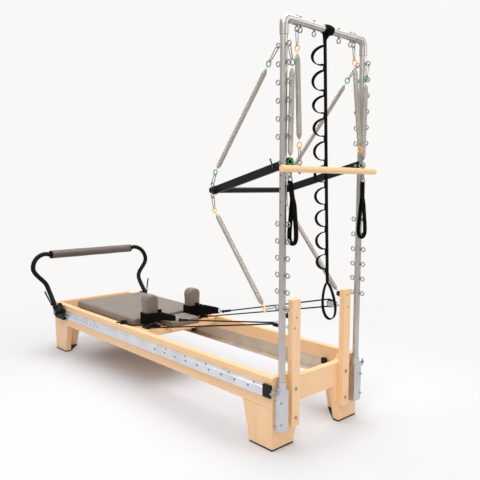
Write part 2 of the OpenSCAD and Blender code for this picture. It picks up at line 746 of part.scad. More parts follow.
module running_wheel(x) color(black) translate([x, wheel_y, axle_z]) rotate([-90, 0, 0])
    rotate_extrude($fn = 48) polygon([[axle_d / 2 + run, 0], [wheel_d / 2 - 2, 0], [wheel_d / 2, 2],
        [wheel_d / 2, wheel_w - 2], [wheel_d / 2 - 2, wheel_w], [axle_d / 2 + run, wheel_w]]);

module near_foot_wheel() near_side() running_wheel(foot_wheel_x);

module near_head_wheel() near_side() running_wheel(head_wheel_x);

module far_foot_wheel() running_wheel(foot_wheel_x);

module far_head_wheel() running_wheel(head_wheel_x);

module rope_cleats() color(black) both_sides() difference() {
    translate([cleat_x, cleat_y, deck_top + tiny]) linear_extrude(18) round_rect(60, 26, 4);
    pin_x(cleat_x - 31, cleat_y, cleat_z, 62, rope_d + 2 * gap);
}

// Webbing bands round the shoulder rests, drawn together at a ring on the rope
module shoulder_band() {
    back = rest_x - rest_l / 2 - 4;
    front = ring_x - 18;
    half = rest_w / 2 + 4;
    plan = [[front, 5], [rest_x + 150, 12], [rest_x + 80, 33], [rest_x + rest_l / 2 + 6, half - 2],
        [rest_x, half], [rest_x - rest_l / 2 + 4, half], [back + 1, half - 10], [back, 0]];
    loop = concat(plan, [for (k = [6:-1:0]) [plan[k][0], -plan[k][1]]]);
    rise = [34, 26, 12, 2, 0, 0, 0, 0, 0, 0, 0, 2, 12, 26, 34];
    tall = [24, 34, 48, 54, 54, 54, 54, 54, 54, 54, 54, 54, 48, 34, 24];
    strap_along([for (k = [0:14]) [loop[k][0], loop[k][1], band_z + band_h / 2 + rise[k]]], 3.4,
        [for (h = tall) h * band_h / 54], [0, 0, 1], true);
    block(rest_x + rest_l / 2 + 20, half - 11, band_z + band_h + 1, 30, 4, 24);
}

module shoulder_straps() color(black) both_sides() translate([0, rest_y, 0]) shoulder_band();

module strap_rings() color(steel) both_sides() translate([0, rest_y, ring_z]) {
    translate([ring_x, 0, 0]) rotate([90, 0, 0]) rotate_extrude($fn = 24) translate([14.4, 0])
        circle(3, $fn = 16);
    translate([ring_x + 18.2, 0, 0]) rotate_extrude($fn = 24) translate([9.5, 0]) circle(2.5, $fn = 16);
}

head_x0 = notch_x + 22;
hinge_x = notch_x + 1 + deck_t / 2;

module headrest() color(taupe) translate([head_x0 + head_l / 2, 0, deck_top + gap])
    cushion(head_l, head_w, pad_levels(head_t - 8, 12, 8, 50), 4);

// Its hinge edge is rounded about the hinge's own axis
board_w = head_w - 4;

module headrest_board() color(wood) {
    t = deck_t - gap - tiny;
    translate([hinge_x, -board_w / 2, deck_z + gap]) {
        translate([0, 0, t / 2]) rotate([-90, 0, 0]) cylinder(h = board_w, d = t);
        cube([head_x0 + head_l - hinge_x, board_w, t]);
    }
}

// Rope routes, from the knotted tail over the cleat and round the pulley to the ring
near_tail = [[-296, -306, 359], [-279, -295, 361], [-262, -285, 364], [-239, -281, 361],
    [-204, -280, 359], [-172, -279, 359], [-152, -268, 358.5], [-138, -244, 358],
    [cleat_x - 50, -cleat_y - 5, cleat_z + 0.8], [cleat_x - 36, -cleat_y, cleat_z]];
far_tail = [for (x = [-70, -50, -36]) [cleat_x + x, cleat_y, cleat_z]];

module near_rope() color(black) {
    end = [ring_x + 30.6, -rest_y, ring_z];
    wrap = [for (a = [-90:15:90])
        [pulley_x + wrap_r * cos(a), -pulley_y + wrap_r * sin(a), near_pulley_z]];
    start = [cleat_x + 40, -cleat_y, cleat_z];
    out = [pulley_x - 18, -pulley_y - wrap_r, near_pulley_z];
    back = [pulley_x - 18, -pulley_y + wrap_r, near_pulley_z];
    tube_along(concat(near_tail, [start], [for (t = [0.25, 0.5, 0.75]) lerp(start, out, t)], [out], wrap,
        [back], [for (t = [0.25, 0.5, 0.75]) lerp(back, end, t)], [end]), rope_d, [0, 0, 1], 8);
    translate([-258, -288, 371]) sphere(d = 16, $fn = 20);
}

module far_rope() color(black) {
    end = [ring_x + 30.6, rest_y, ring_z];
    wrap = [for (a = [-90:15:90])
        [pulley_x + wrap_r * cos(a), pulley_y, far_pulley_z + wrap_r * sin(a)]];
    start = [cleat_x + 40, cleat_y, cleat_z];
    out = [pulley_x - 18, pulley_y, far_pulley_z - wrap_r];
    back = [pulley_x - 18, pulley_y, far_pulley_z + wrap_r];
    tube_along(concat(far_tail, [start], [for (t = [0.25, 0.5, 0.75]) lerp(start, out, t)], [out], wrap,
        [back], [for (t = [0.25, 0.5, 0.75]) lerp(back, end, t)], [end]), rope_d, [0, 1, 0], 8);
}

// A carrier that hooks over the outer rail, with a cheek that rises to the foot bar's pivot
module foot_bracket() difference() {
    union() {
        translate([pivot_x, cheek_y + cheek_t, 0]) rotate([90, 0, 0]) linear_extrude(cheek_t)
            polygon([[-94, rail_z - 8], [44, rail_z - 8], [44, rail_z + 24], [-6, pivot_z + 54],
                [-20, pivot_z + 62], [-38, pivot_z + 58], [-72, rail_z + rail_h + 10], [-94, rail_z + 40]]);
        block(pivot_x - 80, side_y + lip_t, rail_z + rail_h + 0.4, 110, cheek_y - side_y - lip_t + 2, 8);
        block(pivot_x - 80, side_y + 3, rail_z - 8, 110, cheek_y - side_y, 7.6);
        pin_y(pivot_x, cheek_y + cheek_t - 1, pivot_z, hub_y0 - cheek_y - cheek_t + 1 - gap, 30);
    }
    pin_y(pivot_x, cheek_y + 4, pivot_z, 60, foot_pin_d + 2 * tiny);
    pin_x(pivot_x + 30, cheek_y + cheek_t / 2, rail_z + 27, 30, 10 + 2 * tiny);
}

module foot_bar_brackets() color(black) both_sides() foot_bracket();

// Pivot pins with their washers, and the spring plungers that lock the carrier to the rail
module foot_bar_pins() color(steel) both_sides() {
    pin_y(pivot_x, cheek_y + 4 + gap, pivot_z, hub_y0 + hub_w - cheek_y + 2, foot_pin_d);
    pin_y(pivot_x, hub_y0 + hub_w + gap, pivot_z, 5, 26);
    pin_x(pivot_x + 32, cheek_y + cheek_t / 2, rail_z + 27, 60, 10);
    pin_x(pivot_x + 78, cheek_y + cheek_t / 2, rail_z + 27, 14, 18);
}

// Middle line of the bent side arm on the far side: the grip's end, the outward bend, the waist, the hub
arm_line = [[0, 327, 401], [-2, 345, 405], [-3, 368, 408], [-2, 395, 402], [0, 420, 389], [2, 438, 372],
    [5, 453, 350], [9, 462, 322], [12, 462, 298], [16, 452, 274], [19, 436, 253], [23, 414, 228],
    [27, 394, 206], [32, 381, 184], [41, 375, 158], [60, 373, 133], [86, 372, 104], [127, 373, 60],
    [146, 374, 32], [159, 374, 16]];

module foot_bar() color(black) {
    half = [for (p = arm_line) [grip_x + p[0], p[1], pivot_z + p[2]]];
    route = concat([for (k = [len(half) - 1:-1:0]) [half[k][0], -half[k][1], half[k][2]]], half);
    difference() {
        union() {
            tube_along(route, foot_tube, [1, 0, 0], 16);
            both_sides() pin_y(pivot_x, hub_y0, pivot_z, hub_w, foot_hub_d);
            both_sides() pin_y(grip_x, foot_pad_l / 2 + 1, grip_z, 10, foot_pad_d + 6);
        }
        both_sides() pin_y(pivot_x, hub_y0 - 1, pivot_z, hub_w + 2, foot_pin_d + 2 * run);
    }
    both_sides() rod(lever_root() - [0, 16, 0], lever_root() + [0, 9, 0], 6);
}

function lever_root() = [grip_x + 131, hub_y0 + 30, pivot_z + 54];

module foot_bar_pad() color(taupe) difference() {
    pin_y(grip_x, -foot_pad_l / 2, grip_z, foot_pad_l, foot_pad_d);
    pin_y(grip_x, -foot_pad_l / 2 - 1, grip_z, foot_pad_l + 2, foot_tube + 2 * gap);
}

// A thin release lever with an eye on the stub that stands out from the side arm
module foot_lever() color(black) {
    p = lever_root();
    q = p + [-27, 34, 93];
    difference() {
        union() {
            pin_y(p[0], p[1] + 1, p[2], 7, 14);
            rod(p + [-1.5, 5, 6], q, 7);
        }
        pin_y(p[0], p[1], p[2], 9, 6 + 2 * run);
    }
    translate(q) sphere(d = 10, $fn = 20);
}

module near_foot_lever() near_side() foot_lever();

module far_foot_lever() foot_lever();

// Push-through bar: two flat arms on the uprights' pivot pins and a round crosspiece
// One flat arm around its pivot: a bar with a round end past the pivot and a round boss at the crosspiece
module push_arm() translate([ux, arm_y + arm_t, push_pivot_z]) rotate([0, 180 - push_tilt(), 0]) {
    reach = norm([push_x - ux, push_z - push_pivot_z]);
    translate([-14, -arm_t, -arm_h / 2]) cube([reach + 14, arm_t, arm_h]);
    translate([-12, 0, 0]) rotate([90, 0, 0]) cylinder(h = arm_t, r = arm_h / 2 + 0.5);
    translate([reach, 0, 0]) rotate([90, 0, 0]) cylinder(h = arm_t, r = arm_h / 2 + 2);
}

function push_tilt() = atan2(push_pivot_z - push_z, ux - push_x);

module push_bar() color(black) {
    difference() {
        union() {
            both_sides() push_arm();
            pin_y(push_x, -push_half, push_z, 2 * push_half, push_d);
        }
        pin_y(ux - 84, -arm_y - arm_t - 1, push_z + 106, arm_t / 2 + 1 + run, 8);
        both_sides() translate([push_x, clip_y, push_z - push_d])
            cylinder(h = 2 * push_d, r = eye_wire + run);
        both_sides() pin_y(ux, arm_y - 1, push_pivot_z, arm_t + 2, pivot_d + 2 * run);
    }
}

module push_bar_clips() both_sides() {
    color(steel) {
        translate(bar_eye_up) eye_ring();
        translate(bar_eye_low) eye_ring();
        translate(bar_eye_low + [0, 0, eye_r])
            cylinder(h = bar_eye_up[2] - bar_eye_low[2] - 2 * eye_r, r = eye_wire);
    }
    clip(bar_eye_up, push_ring_2, "seagreen");
    clip(bar_eye_low, push_ring_4, "orange");
}

// The latch on the near arm: a short lever on a stub pin
module latch_lever() color("midnightblue") {
    p = [ux - 84, -arm_y - arm_t, push_z + 106];
    pin_y(p[0], p[1] - 5, p[2], 5 + arm_t / 2, 8 - 2 * run);
    rod(p + [0, -4, 0], p + [-16, -4, 36], 7);
    translate(p + [-16, -4, 36]) sphere(d = 9, $fn = 20);
}

module roll_down_bar() {
    color(wood) difference() {
        pin_y(dowel_x, -dowel_l / 2, dowel_z, dowel_l, dowel_d);
        both_sides() translate([dowel_x, dowel_y, dowel_z - dowel_d])
            cylinder(h = 2 * dowel_d, r = eye_wire + run);
    }
    both_sides() {
        color(steel) translate(dowel_eye) {
            eye_ring();
            translate([0, 0, -dowel_d - 22]) cylinder(h = dowel_d + 22 - eye_r, r = eye_wire);
            translate([0, 0, -dowel_d - 19 - tiny]) cylinder(h = 5, r = 6, $fn = 16);
        }
        clip(dowel_eye, roll_ring_2, "orange");
    }
}

// A hand loop: webbing from a neck down round a padded teardrop and back, below its ring
module hand_loop() {
    fall = [[3.2, 0, 5], [3.2, -24, 5], [3.4, -68, 5], [6, -82, 9], [8.5, -104, 13], [13, -150, 14],
        [18, -195, 14], [20.5, -230, 14], [19, -252, 14], [11, -268, 14]];
    top = loop_eye - [0, 0, eye_r + eye_wire];
    right = [for (f = fall) let (t = min(1, -f[1] / 90))
        [lerp(top[0], loop_x, t) + f[0], lerp(top[1], loop_y, t), top[2] + f[1]]];
    left = [for (k = [len(fall) - 1:-1:0])
        [right[k][0] - 2 * fall[k][0], right[k][1], right[k][2]]];
    color(black) strap_along(concat(right, [[loop_x, loop_y, top[2] - 273]], left),
        concat([for (f = fall) f[2]], [14], [for (k = [len(fall) - 1:-1:0]) fall[k][2]]),
        loop_w, [0, 1, 0]);
    // The ring's section has eight sides, so its inner face is a true bore that it swings on
    color(steel) translate(loop_eye) rotate([90, 0, 0]) rotate_extrude($fn = 48)
        translate([eye_r, 0]) rotate(22.5) circle(eye_wire / cos(22.5), $fn = 8);
}

module near_hand_loop() near_side() hand_loop();

module far_hand_loop() hand_loop();

side_boards();
end_boards();
legs();
foot_pads();
outer_rails();
rail_end_caps();
inner_rails();
rail_stops();
spring_bar();
uprights();
elbows();
crossbar();
eye_bolts();
tower_brackets();
risers();
bolts();
green_clips();
yellow_clips();
push_bar_springs();
roll_down_springs();
arm_springs();
ladder_strap();
near_clamp_screw();
far_clamp_screw();
near_pulley_block();
far_pulley_block();
near_pulley_wheel();
far_pulley_wheel();
near_pulley_knob();
far_pulley_knob();
carriage_deck();
deck_battens();
mattress();
shoulder_rests();
rest_posts();
wheel_brackets();
near_foot_wheel();
near_head_wheel();
far_foot_wheel();
far_head_wheel();
rope_cleats();
carriage_springs();
shoulder_straps();
strap_rings();
headrest();
headrest_board();
near_rope();
far_rope();
foot_bar_brackets();
foot_bar();
foot_bar_pad();
foot_bar_pins();
near_foot_lever();
far_foot_lever();
push_bar();
push_bar_clips();
latch_lever();
roll_down_bar();
near_hand_loop();
far_hand_loop();
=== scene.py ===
# %% [markdown]
# # A pilates tower unit
#
# The real machine is a long wooden frame in which a padded carriage rolls on springs. A padded foot
# bar folds over one end. A half tower of steel tube stands at the other, with springs, bars, hand
# loops and a long ladder of webbing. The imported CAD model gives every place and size. Here each
# soft or wound piece is made again as a surface, and every hard piece gets its finish.

import math

import bmesh
import bpy
import numpy as np
from mathutils import Matrix
from mathutils.bvhtree import BVHTree


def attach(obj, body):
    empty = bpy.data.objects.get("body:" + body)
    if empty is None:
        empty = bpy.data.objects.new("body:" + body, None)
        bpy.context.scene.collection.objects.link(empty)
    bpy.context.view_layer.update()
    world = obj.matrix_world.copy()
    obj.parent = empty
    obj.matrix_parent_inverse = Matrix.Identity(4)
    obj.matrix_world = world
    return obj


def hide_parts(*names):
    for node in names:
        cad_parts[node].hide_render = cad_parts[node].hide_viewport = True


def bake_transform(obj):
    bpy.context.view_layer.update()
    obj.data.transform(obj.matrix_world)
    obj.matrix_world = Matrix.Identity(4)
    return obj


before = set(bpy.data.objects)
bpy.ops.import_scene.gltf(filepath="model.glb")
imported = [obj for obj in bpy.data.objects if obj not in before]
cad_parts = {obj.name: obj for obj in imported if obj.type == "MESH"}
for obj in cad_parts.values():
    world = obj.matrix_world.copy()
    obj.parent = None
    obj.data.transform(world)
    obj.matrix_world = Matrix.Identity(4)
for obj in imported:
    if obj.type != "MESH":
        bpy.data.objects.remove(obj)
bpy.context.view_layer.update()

# %% [markdown]
# ## Camera
#
# The picture was taken from beyond the tower, a little above a person's waist, looking back along
# the machine. The lens follows from how fast the frame's long edges run together. The machine sits
# off the middle of the picture, and a lens shift does that without turning the camera.

# %% Camera
focal_pixels, centre_pixel = 561.73, (284.27, 266.27)
yaw, pitch, roll = 0.7823, 0.1444, 0.0069
camera_place = np.array([2.9274, -2.0327, 1.2374])

camera_data = bpy.data.cameras.new("camera")
camera_data.sensor_width = 36
camera_data.lens = focal_pixels / 480 * 36
camera_data.shift_x = -(centre_pixel[0] - 240) / 480
camera_data.shift_y = (centre_pixel[1] - 240) / 480
camera_data.clip_end = 60
back = np.array([math.sin(yaw) * math.cos(pitch), -math.cos(yaw) * math.cos(pitch), math.sin(pitch)])
right = np.array([math.cos(yaw), math.sin(yaw), 0.0])
up = np.cross(back, right)
camera_right = math.cos(roll) * right + math.sin(roll) * up
camera_up = math.cos(roll) * up - math.sin(roll) * right
camera = bpy.data.objects.new("camera", camera_data)
matrix = np.eye(4)
matrix[:3, 0], matrix[:3, 1], matrix[:3, 2], matrix[:3, 3] = camera_right, camera_up, back, camera_place
camera.matrix_world = Matrix(matrix.tolist())
bpy.context.scene.collection.objects.link(camera)
bpy.context.scene.camera = camera
print("lens", round(camera_data.lens, 2), "mm, camera", round(math.hypot(*camera_place), 2), "m away")

# %% [markdown]
# ## Surfaces from arrays
#
# Every new piece below is a grid of points: rows run along a path and columns run round it. Four
# helpers do the work. One makes a mesh from a grid, one finds the directions along a path, one
# carries a profile along it, and one smooths a rough route. Working on whole arrays keeps each
# shape a short formula.

# %% Grid helpers
def unit(v):
    """Each row divided by its own length."""
    return v / np.maximum(np.linalg.norm(v, axis=-1, keepdims=True), 1e-12)


def grid_faces(rows, columns, loop_rows=False, loop_columns=True):
    """Quads of a grid: each joins point (i, j) to its next row and next column."""
    i = np.arange(rows if loop_rows else rows - 1)[:, None]
    j = np.arange(columns if loop_columns else columns - 1)[None, :]
    a, b = i * columns + j, i * columns + (j + 1) % columns
    k = (i + 1) % rows
    c, d = k * columns + (j + 1) % columns, k * columns + j
    return np.stack([a, b, c, d], axis=-1).reshape(-1, 4)


def end_caps(rows, columns):
    """One polygon closes the first ring and one the last, and both face out."""
    return [list(range(columns))[::-1], [(rows - 1) * columns + k for k in range(columns)]]


def make_piece(name, shape, body, smooth=True):
    """A mesh from points, faces and each point's lay, which a woven finish reads. It rides on a body."""
    points, faces, lay = shape
    mesh = bpy.data.meshes.new(name)
    mesh.from_pydata(np.asarray(points).reshape(-1, 3).tolist(), [], [tuple(f) for f in faces])
    mesh.polygons.foreach_set("use_smooth", np.full(len(mesh.polygons), smooth))
    if lay is not None:
        field = mesh.attributes.new("lay", "FLOAT_VECTOR", "POINT")
        field.data.foreach_set("vector", np.asarray(lay, np.float32).ravel())
    mesh.update()
    piece = bpy.data.objects.new(name, mesh)
    bpy.context.scene.collection.objects.link(piece)
    if body:
        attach(piece, body)
    return piece


def dress(piece, material, stands_for=None):
    """Gives a piece its finish in its material slot, and hides the CAD node that it stands for."""
    piece.data.materials.clear()
    piece.data.materials.append(material)
    if stands_for:
        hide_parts(stands_for)
    return piece


def path_frames(path, side, closed=False):
    """Directions along a path: the tangent is the difference of the neighbours, u and w stand on it."""
    if closed:
        tangent = unit(np.roll(path, -1, 0) - np.roll(path, 1, 0))
    else:
        tangent = unit(np.gradient(path, axis=0))
    u = unit(np.cross(tangent, np.asarray(side, float)))
    return tangent, u, np.cross(tangent, u)


def lengths(path):
    """The distance along a path to each of its points."""
    return np.concatenate([[0], np.cumsum(np.linalg.norm(np.diff(path, axis=0), axis=1))])


def joined(parts):
    """Several (points, faces, lay) sets as one, with the face numbers moved on."""
    points, faces, lays, start = [], [], [], 0
    for p, f, l in parts:
        p = np.asarray(p).reshape(-1, 3)
        points.append(p)
        lays.append(np.asarray(l).reshape(-1, 3))
        faces += [tuple(int(v) + start for v in q) for q in f]
        start += len(p)
    return np.concatenate(points), faces, np.concatenate(lays)


def resample(path, step):
    """A smooth curve through the points, in even steps: Catmull-Rom, then equal lengths along it."""
    p = np.asarray(path, float)
    q = np.vstack([2 * p[0] - p[1], p, 2 * p[-1] - p[-2]])
    t = np.linspace(0, 1, 12, endpoint=False)[:, None]
    a, b, c, d = q[:-3, None], q[1:-2, None], q[2:-1, None], q[3:, None]
    curve = 0.5 * (2 * b + (c - a) * t + (2 * a - 5 * b + 4 * c - d) * t**2 + (3 * b - a - 3 * c + d) * t**3)
    curve = np.vstack([curve.reshape(-1, 3), p[-1]])
    along = lengths(curve)
    even = np.linspace(0, along[-1], max(4, int(round(along[-1] / step)) + 1))
    return np.stack([np.interp(even, along, curve[:, k]) for k in range(3)], axis=1)


def tube(path, radius, side=(0, 0, 1), sides=12, closed=False):
    """A round tube: path point plus radius times (u cos a + w sin a). Ends get flat caps."""
    path = np.asarray(path, float)
    tangent, u, w = path_frames(path, side, closed)
    a = np.linspace(0, 2 * np.pi, sides, endpoint=False)
    r = np.broadcast_to(np.asarray(radius, float), (len(path),))[:, None, None]
    points = path[:, None] + r * (u[:, None] * np.cos(a)[:, None] + w[:, None] * np.sin(a)[:, None])
    lay = np.stack(np.broadcast_arrays(lengths(path)[:, None], np.cos(a)[None], np.sin(a)[None]), axis=-1)
    faces = grid_faces(len(path), sides, closed).tolist() + ([] if closed else end_caps(len(path), sides))
    return points.reshape(-1, 3), faces, lay.reshape(-1, 3)


def turned(profile, centre, axis, segments=48):
    """A turned solid: profile rows are (radius, height along axis), spun round the axis."""
    profile = np.asarray(profile, float)
    axis = unit(np.asarray(axis, float))
    u = unit(np.cross(axis, [0, 0, 1] if abs(axis[2]) < 0.9 else [1, 0, 0]))
    w = np.cross(axis, u)
    a = np.linspace(0, 2 * np.pi, segments, endpoint=False)
    ring = np.cos(a)[:, None] * u + np.sin(a)[:, None] * w
    points = np.asarray(centre) + profile[:, 1, None, None] * axis + profile[:, 0, None, None] * ring
    lay = np.stack(np.broadcast_arrays(profile[:, 1][:, None], np.cos(a)[None], np.sin(a)[None]), axis=-1)
    faces = grid_faces(len(profile), segments).tolist() + end_caps(len(profile), segments)
    return points.reshape(-1, 3), faces, lay.reshape(-1, 3)


def outward(piece):
    """Recalculates normals so that every face points out, after doubles are merged."""
    b = bmesh.new()
    b.from_mesh(piece.data)
    bmesh.ops.remove_doubles(b, verts=b.verts, dist=1e-7)
    bmesh.ops.recalc_face_normals(b, faces=b.faces)
    b.to_mesh(piece.data)
    b.free()
    return piece


print("grid helpers ready")

# %% [markdown]
# ## Main measures
#
# These are the few sizes that more than one piece needs. They are the same as in the CAD source, in
# metres, with +X toward the tower and the near side at -Y.

# %% Main measures
end_x = 1.147
foot_x = -1.215
upright_x = end_x + 0.022
tower_y = 0.275
tower_top = 1.934
deck_top = 0.34705
carriage_x = -0.014
near_far = (("near", -1), ("far", 1))
print("frame", round(end_x - foot_x, 3), "m long")

# %% [markdown]
# ## Ropes
#
# Each rope runs from a ring on the shoulder webbing, round the tower's pulley and back to a cleat on
# the carriage. They are held taut, so they hang almost straight. The near one passes its cleat,
# turns over the frame's edge and ends in a knot with a short tail. A braid is drawn by its finish
# and its surface is a plain tube, because its strands are finer than the picture shows. At the ring
# each rope is turned back on itself in a thicker sleeve with a bead at its end.

# %% Rope routes
rope_d = 0.006
braid_swell = 0.0009
pulley_x = end_x - 0.091
wrap_r = 0.0192
ring_x = carriage_x + 0.176
ring_z = deck_top + 0.091
cleat = np.array([carriage_x - 0.063, 0.222, deck_top + 0.010])


def pulley_route(side, height, flat):
    """Ring to pulley, half a turn round it, and back to the cleat. flat lays the turn level."""
    ring = np.array([ring_x + 0.0306, side * 0.163, ring_z])
    hub = np.array([pulley_x, side * 0.198, height])
    a = np.radians(np.linspace(90, -90, 13))[:, None]
    sideways = np.array([0, 1.0, 0]) if flat else np.array([0, 0, 1.0])
    wrap = hub + wrap_r * (np.cos(a) * np.array([1.0, 0, 0]) + np.sin(a) * sideways)
    top = hub + wrap_r * sideways - np.array([0.018, 0, 0])
    low = hub - wrap_r * sideways - np.array([0.018, 0, 0])
    end = np.array([cleat[0] + 0.040, side * cleat[1], cleat[2]])
    t = np.linspace(0, 1, 9)[:-1, None]
    return np.vstack([ring + (top - ring) * t, top, wrap[1:-1], low, low + (end - low) * t[1:], end])


near_tail = np.array([
    [cleat[0] - 0.036, -cleat[1], cleat[2]], [cleat[0] - 0.050, -cleat[1] - 0.005, cleat[2] + 0.0008],
    [-0.138, -0.244, 0.358], [-0.152, -0.268, 0.3585], [-0.172, -0.279, 0.359], [-0.204, -0.280, 0.359],
    [-0.239, -0.281, 0.361], [-0.262, -0.285, 0.364], [-0.279, -0.295, 0.361], [-0.296, -0.306, 0.359]])
far_tail = np.array([[cleat[0] - d, cleat[1], cleat[2]] for d in (0.036, 0.050, 0.070)])
rope_paths = {
    "near": np.vstack([pulley_route(-1, 0.577, True), near_tail]),
    "far": np.vstack([pulley_route(1, 0.620, False), far_tail]),
}

# %% Ropes and the knot
ropes = {}
for name, _ in near_far:
    route = resample(rope_paths[name], 0.004)
    side = (0, 0, 1) if name == "near" else (0, 1, 0)
    rope = make_piece(f"{name}_rope_braided", tube(route, rope_d / 2 + braid_swell, side), None)
    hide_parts(f"{name}_rope")
    ropes[name] = (rope, route)

k = np.linspace(0, 2 * np.pi, 120, endpoint=False)
trefoil = np.stack([np.sin(k) + 2 * np.sin(2 * k), 0.72 * (np.cos(k) - 2 * np.cos(2 * k)), -np.sin(3 * k)], 1)
knot_middle, knot_size, knot_r = np.array([-0.246, -0.286, 0.3680]), 0.0074, 0.0050
knot = tube(knot_middle + knot_size * trefoil, knot_r, (0.1, 0.2, 1), 12, True)
rope_knot = make_piece("near_rope_knot", knot, "carriage")
sleeves = {}
for name, sleeve_l in (("near", 0.095), ("far", 0.085)):
    route = ropes[name][1]
    away = np.linalg.norm(route - route[0], axis=1)
    part = route[:200][away[:200] < sleeve_l]
    u = np.linspace(0, 1, len(part))
    swell = 0.0042 + 0.0032 * np.clip(np.minimum(u, 1 - u) / 0.08, 0, 1) ** 0.5
    ball = 0.0105 * np.sqrt(np.clip(1 - ((u * sleeve_l - 0.011) / 0.0115) ** 2, 0, 1))
    sleeve = tube(part, np.maximum(swell, ball), (0, 0, 1), 16)
    sleeves[name] = make_piece(f"{name}_rope_sleeve", sleeve, "carriage")
print("ropes made,", len(trefoil), "points on the knot")

# %% [markdown]
# ## Finishes
#
# A finish is a small graph of nodes. Most begin with the object's own coordinates, run them through
# a noise or wave pattern at the real scale, and use the result twice: to shift the colour a little
# and to raise a bump. Values that are the same everywhere are written straight on the shader.

# %% Finish helpers
def finish(name, colour, roughness, metallic=0.0, **sockets):
    """A new material whose Principled shader has these values on its sockets."""
    material = bpy.data.materials.new(name)
    material.use_nodes = True
    material.diffuse_color = (*colour, 1)
    shader = material.node_tree.nodes["Principled BSDF"]
    shader.inputs["Base Color"].default_value = (*colour, 1)
    shader.inputs["Roughness"].default_value = roughness
    shader.inputs["Metallic"].default_value = metallic
    for key, value in sockets.items():
        shader.inputs[key.replace("_", " ")].default_value = value
    return material


def node(owner, kind, inputs=None, **fields):
    """Adds a node. inputs maps a socket name or number to a value or to another node's output."""
    made = owner.node_tree.nodes.new("ShaderNode" + kind)
    for key, value in fields.items():
        setattr(made, key, value)
    for key, value in (inputs or {}).items():
        if isinstance(value, bpy.types.NodeSocket):
            owner.node_tree.links.new(value, made.inputs[key])
        else:
            made.inputs[key].default_value = value
    return made


def to_node(owner, name, socket, output):
    """Links an output to a socket of a node that is there from the start."""
    owner.node_tree.links.new(output, owner.node_tree.nodes[name].inputs[socket])


def to_shader(material, socket, output):
    """Links an output to a socket of the material's shader."""
    to_node(material, "Principled BSDF", socket, output)


def place_on(material, scale=(1, 1, 1)):
    """Object coordinates, stretched along each axis: the start of most patterns."""
    coordinates = node(material, "TexCoord").outputs["Object"]
    return node(material, "Mapping", {"Vector": coordinates, "Scale": scale}).outputs[0]


def noise(material, scale, detail, stretch=(1, 1, 1), twist=0.0):
    """Noise over the object's own coordinates."""
    return node(material, "TexNoise", {"Vector": place_on(material, stretch), "Scale": scale,
                                       "Detail": detail, "Distortion": twist}).outputs[0]


def remap(material, value, low=0.0, high=1.0, to_low=0.0, to_high=1.0):
    """Maps the span from low to high onto the span from to_low to to_high."""
    return node(material, "MapRange", {"Value": value, "From Min": low, "From Max": high, "To Min": to_low,
                                       "To Max": to_high}).outputs[0]


def mix_by(material, factor, a, b):
    """Mixes two colours or sockets: 6 and 7 are the colour sockets of a Mix node."""
    a, b = ((*c, 1) if isinstance(c, tuple) else c for c in (a, b))
    return node(material, "Mix", {0: factor, 6: a, 7: b}, data_type="RGBA").outputs[2]


def raise_bump(material, height, distance, strength=1.0):
    """Feeds a height to the shader's normal as a bump of that depth in metres."""
    bump = node(material, "Bump", {"Height": height, "Distance": distance, "Strength": strength})
    to_shader(material, "Normal", bump.outputs[0])


def math_on(owner, operation, *values):
    """One Math node on one or two values."""
    return node(owner, "Math", dict(enumerate(values)), operation=operation).outputs[0]


def times(colour, factor, plus=0.0):
    """Each part of a colour times a factor, plus a little."""
    return tuple(c * factor + plus for c in colour)


print("finish helpers ready")

# %% [markdown]
# ## Light and backdrop
#
# The picture is a studio one: everything stands on white, under very soft light, with only a faint
# shadow below the frame. A pale sky lights the object evenly, three wide lamps give the metal its
# bright and dark bands, and the floor is a pale sheet that still takes the shadow. Camera and
# transmission rays see the plain backdrop. Glossy rays see a quarter of it, so steel stays grey.

# %% World and lamps
scene = bpy.context.scene
scene.view_settings.view_transform = "Standard"
world = bpy.data.worlds.new("studio")
scene.world = world
world.use_nodes = True
sky = world.node_tree.nodes["Background"]
sky.inputs["Color"].default_value = (0.94, 0.96, 1.0, 1)
sky.inputs["Strength"].default_value = 0.53
backdrop = (0.947, 0.939, 0.922, 1)
plain = node(world, "Background", {"Color": backdrop, "Strength": 1.0})
rays = node(world, "LightPath").outputs
some_glossy = math_on(world, "MULTIPLY", rays["Is Glossy Ray"], 0.25)
seen = math_on(world, "MAXIMUM", rays["Is Camera Ray"], rays["Is Transmission Ray"])
choose = node(world, "MixShader", {0: math_on(world, "MAXIMUM", seen, some_glossy), 1: sky.outputs[0],
                                   2: plain.outputs[0]})
to_node(world, "World Output", "Surface", choose.outputs[0])


def soft_lamp(name, place, aim, size, watts, colour):
    """A square lamp at place, turned so that it shines at aim."""
    data = bpy.data.lights.new(name, "AREA")
    data.size = size
    data.energy = watts
    data.color = colour
    lamp = bpy.data.objects.new(name, data)
    z = unit(np.asarray(place, float) - np.asarray(aim, float))
    x = unit(np.cross([0, 0, 1.0], z))
    pose = np.eye(4)
    pose[:3, 0], pose[:3, 1], pose[:3, 2], pose[:3, 3] = x, np.cross(z, x), z, place
    lamp.matrix_world = Matrix(pose.tolist())
    scene.collection.objects.link(lamp)


soft_lamp("key", (3.0, -3.3, 4.8), (0, 0, 0.6), 3.2, 126, (1.0, 0.97, 0.93))
soft_lamp("fill", (4.6, 2.4, 3.2), (0.3, 0, 0.7), 3.0, 48, (1.0, 0.98, 0.96))
soft_lamp("top", (-0.4, 0.5, 5.0), (-0.2, 0, 0.3), 5.0, 266, (1.0, 0.985, 0.96))
print("sky and three lamps ready")

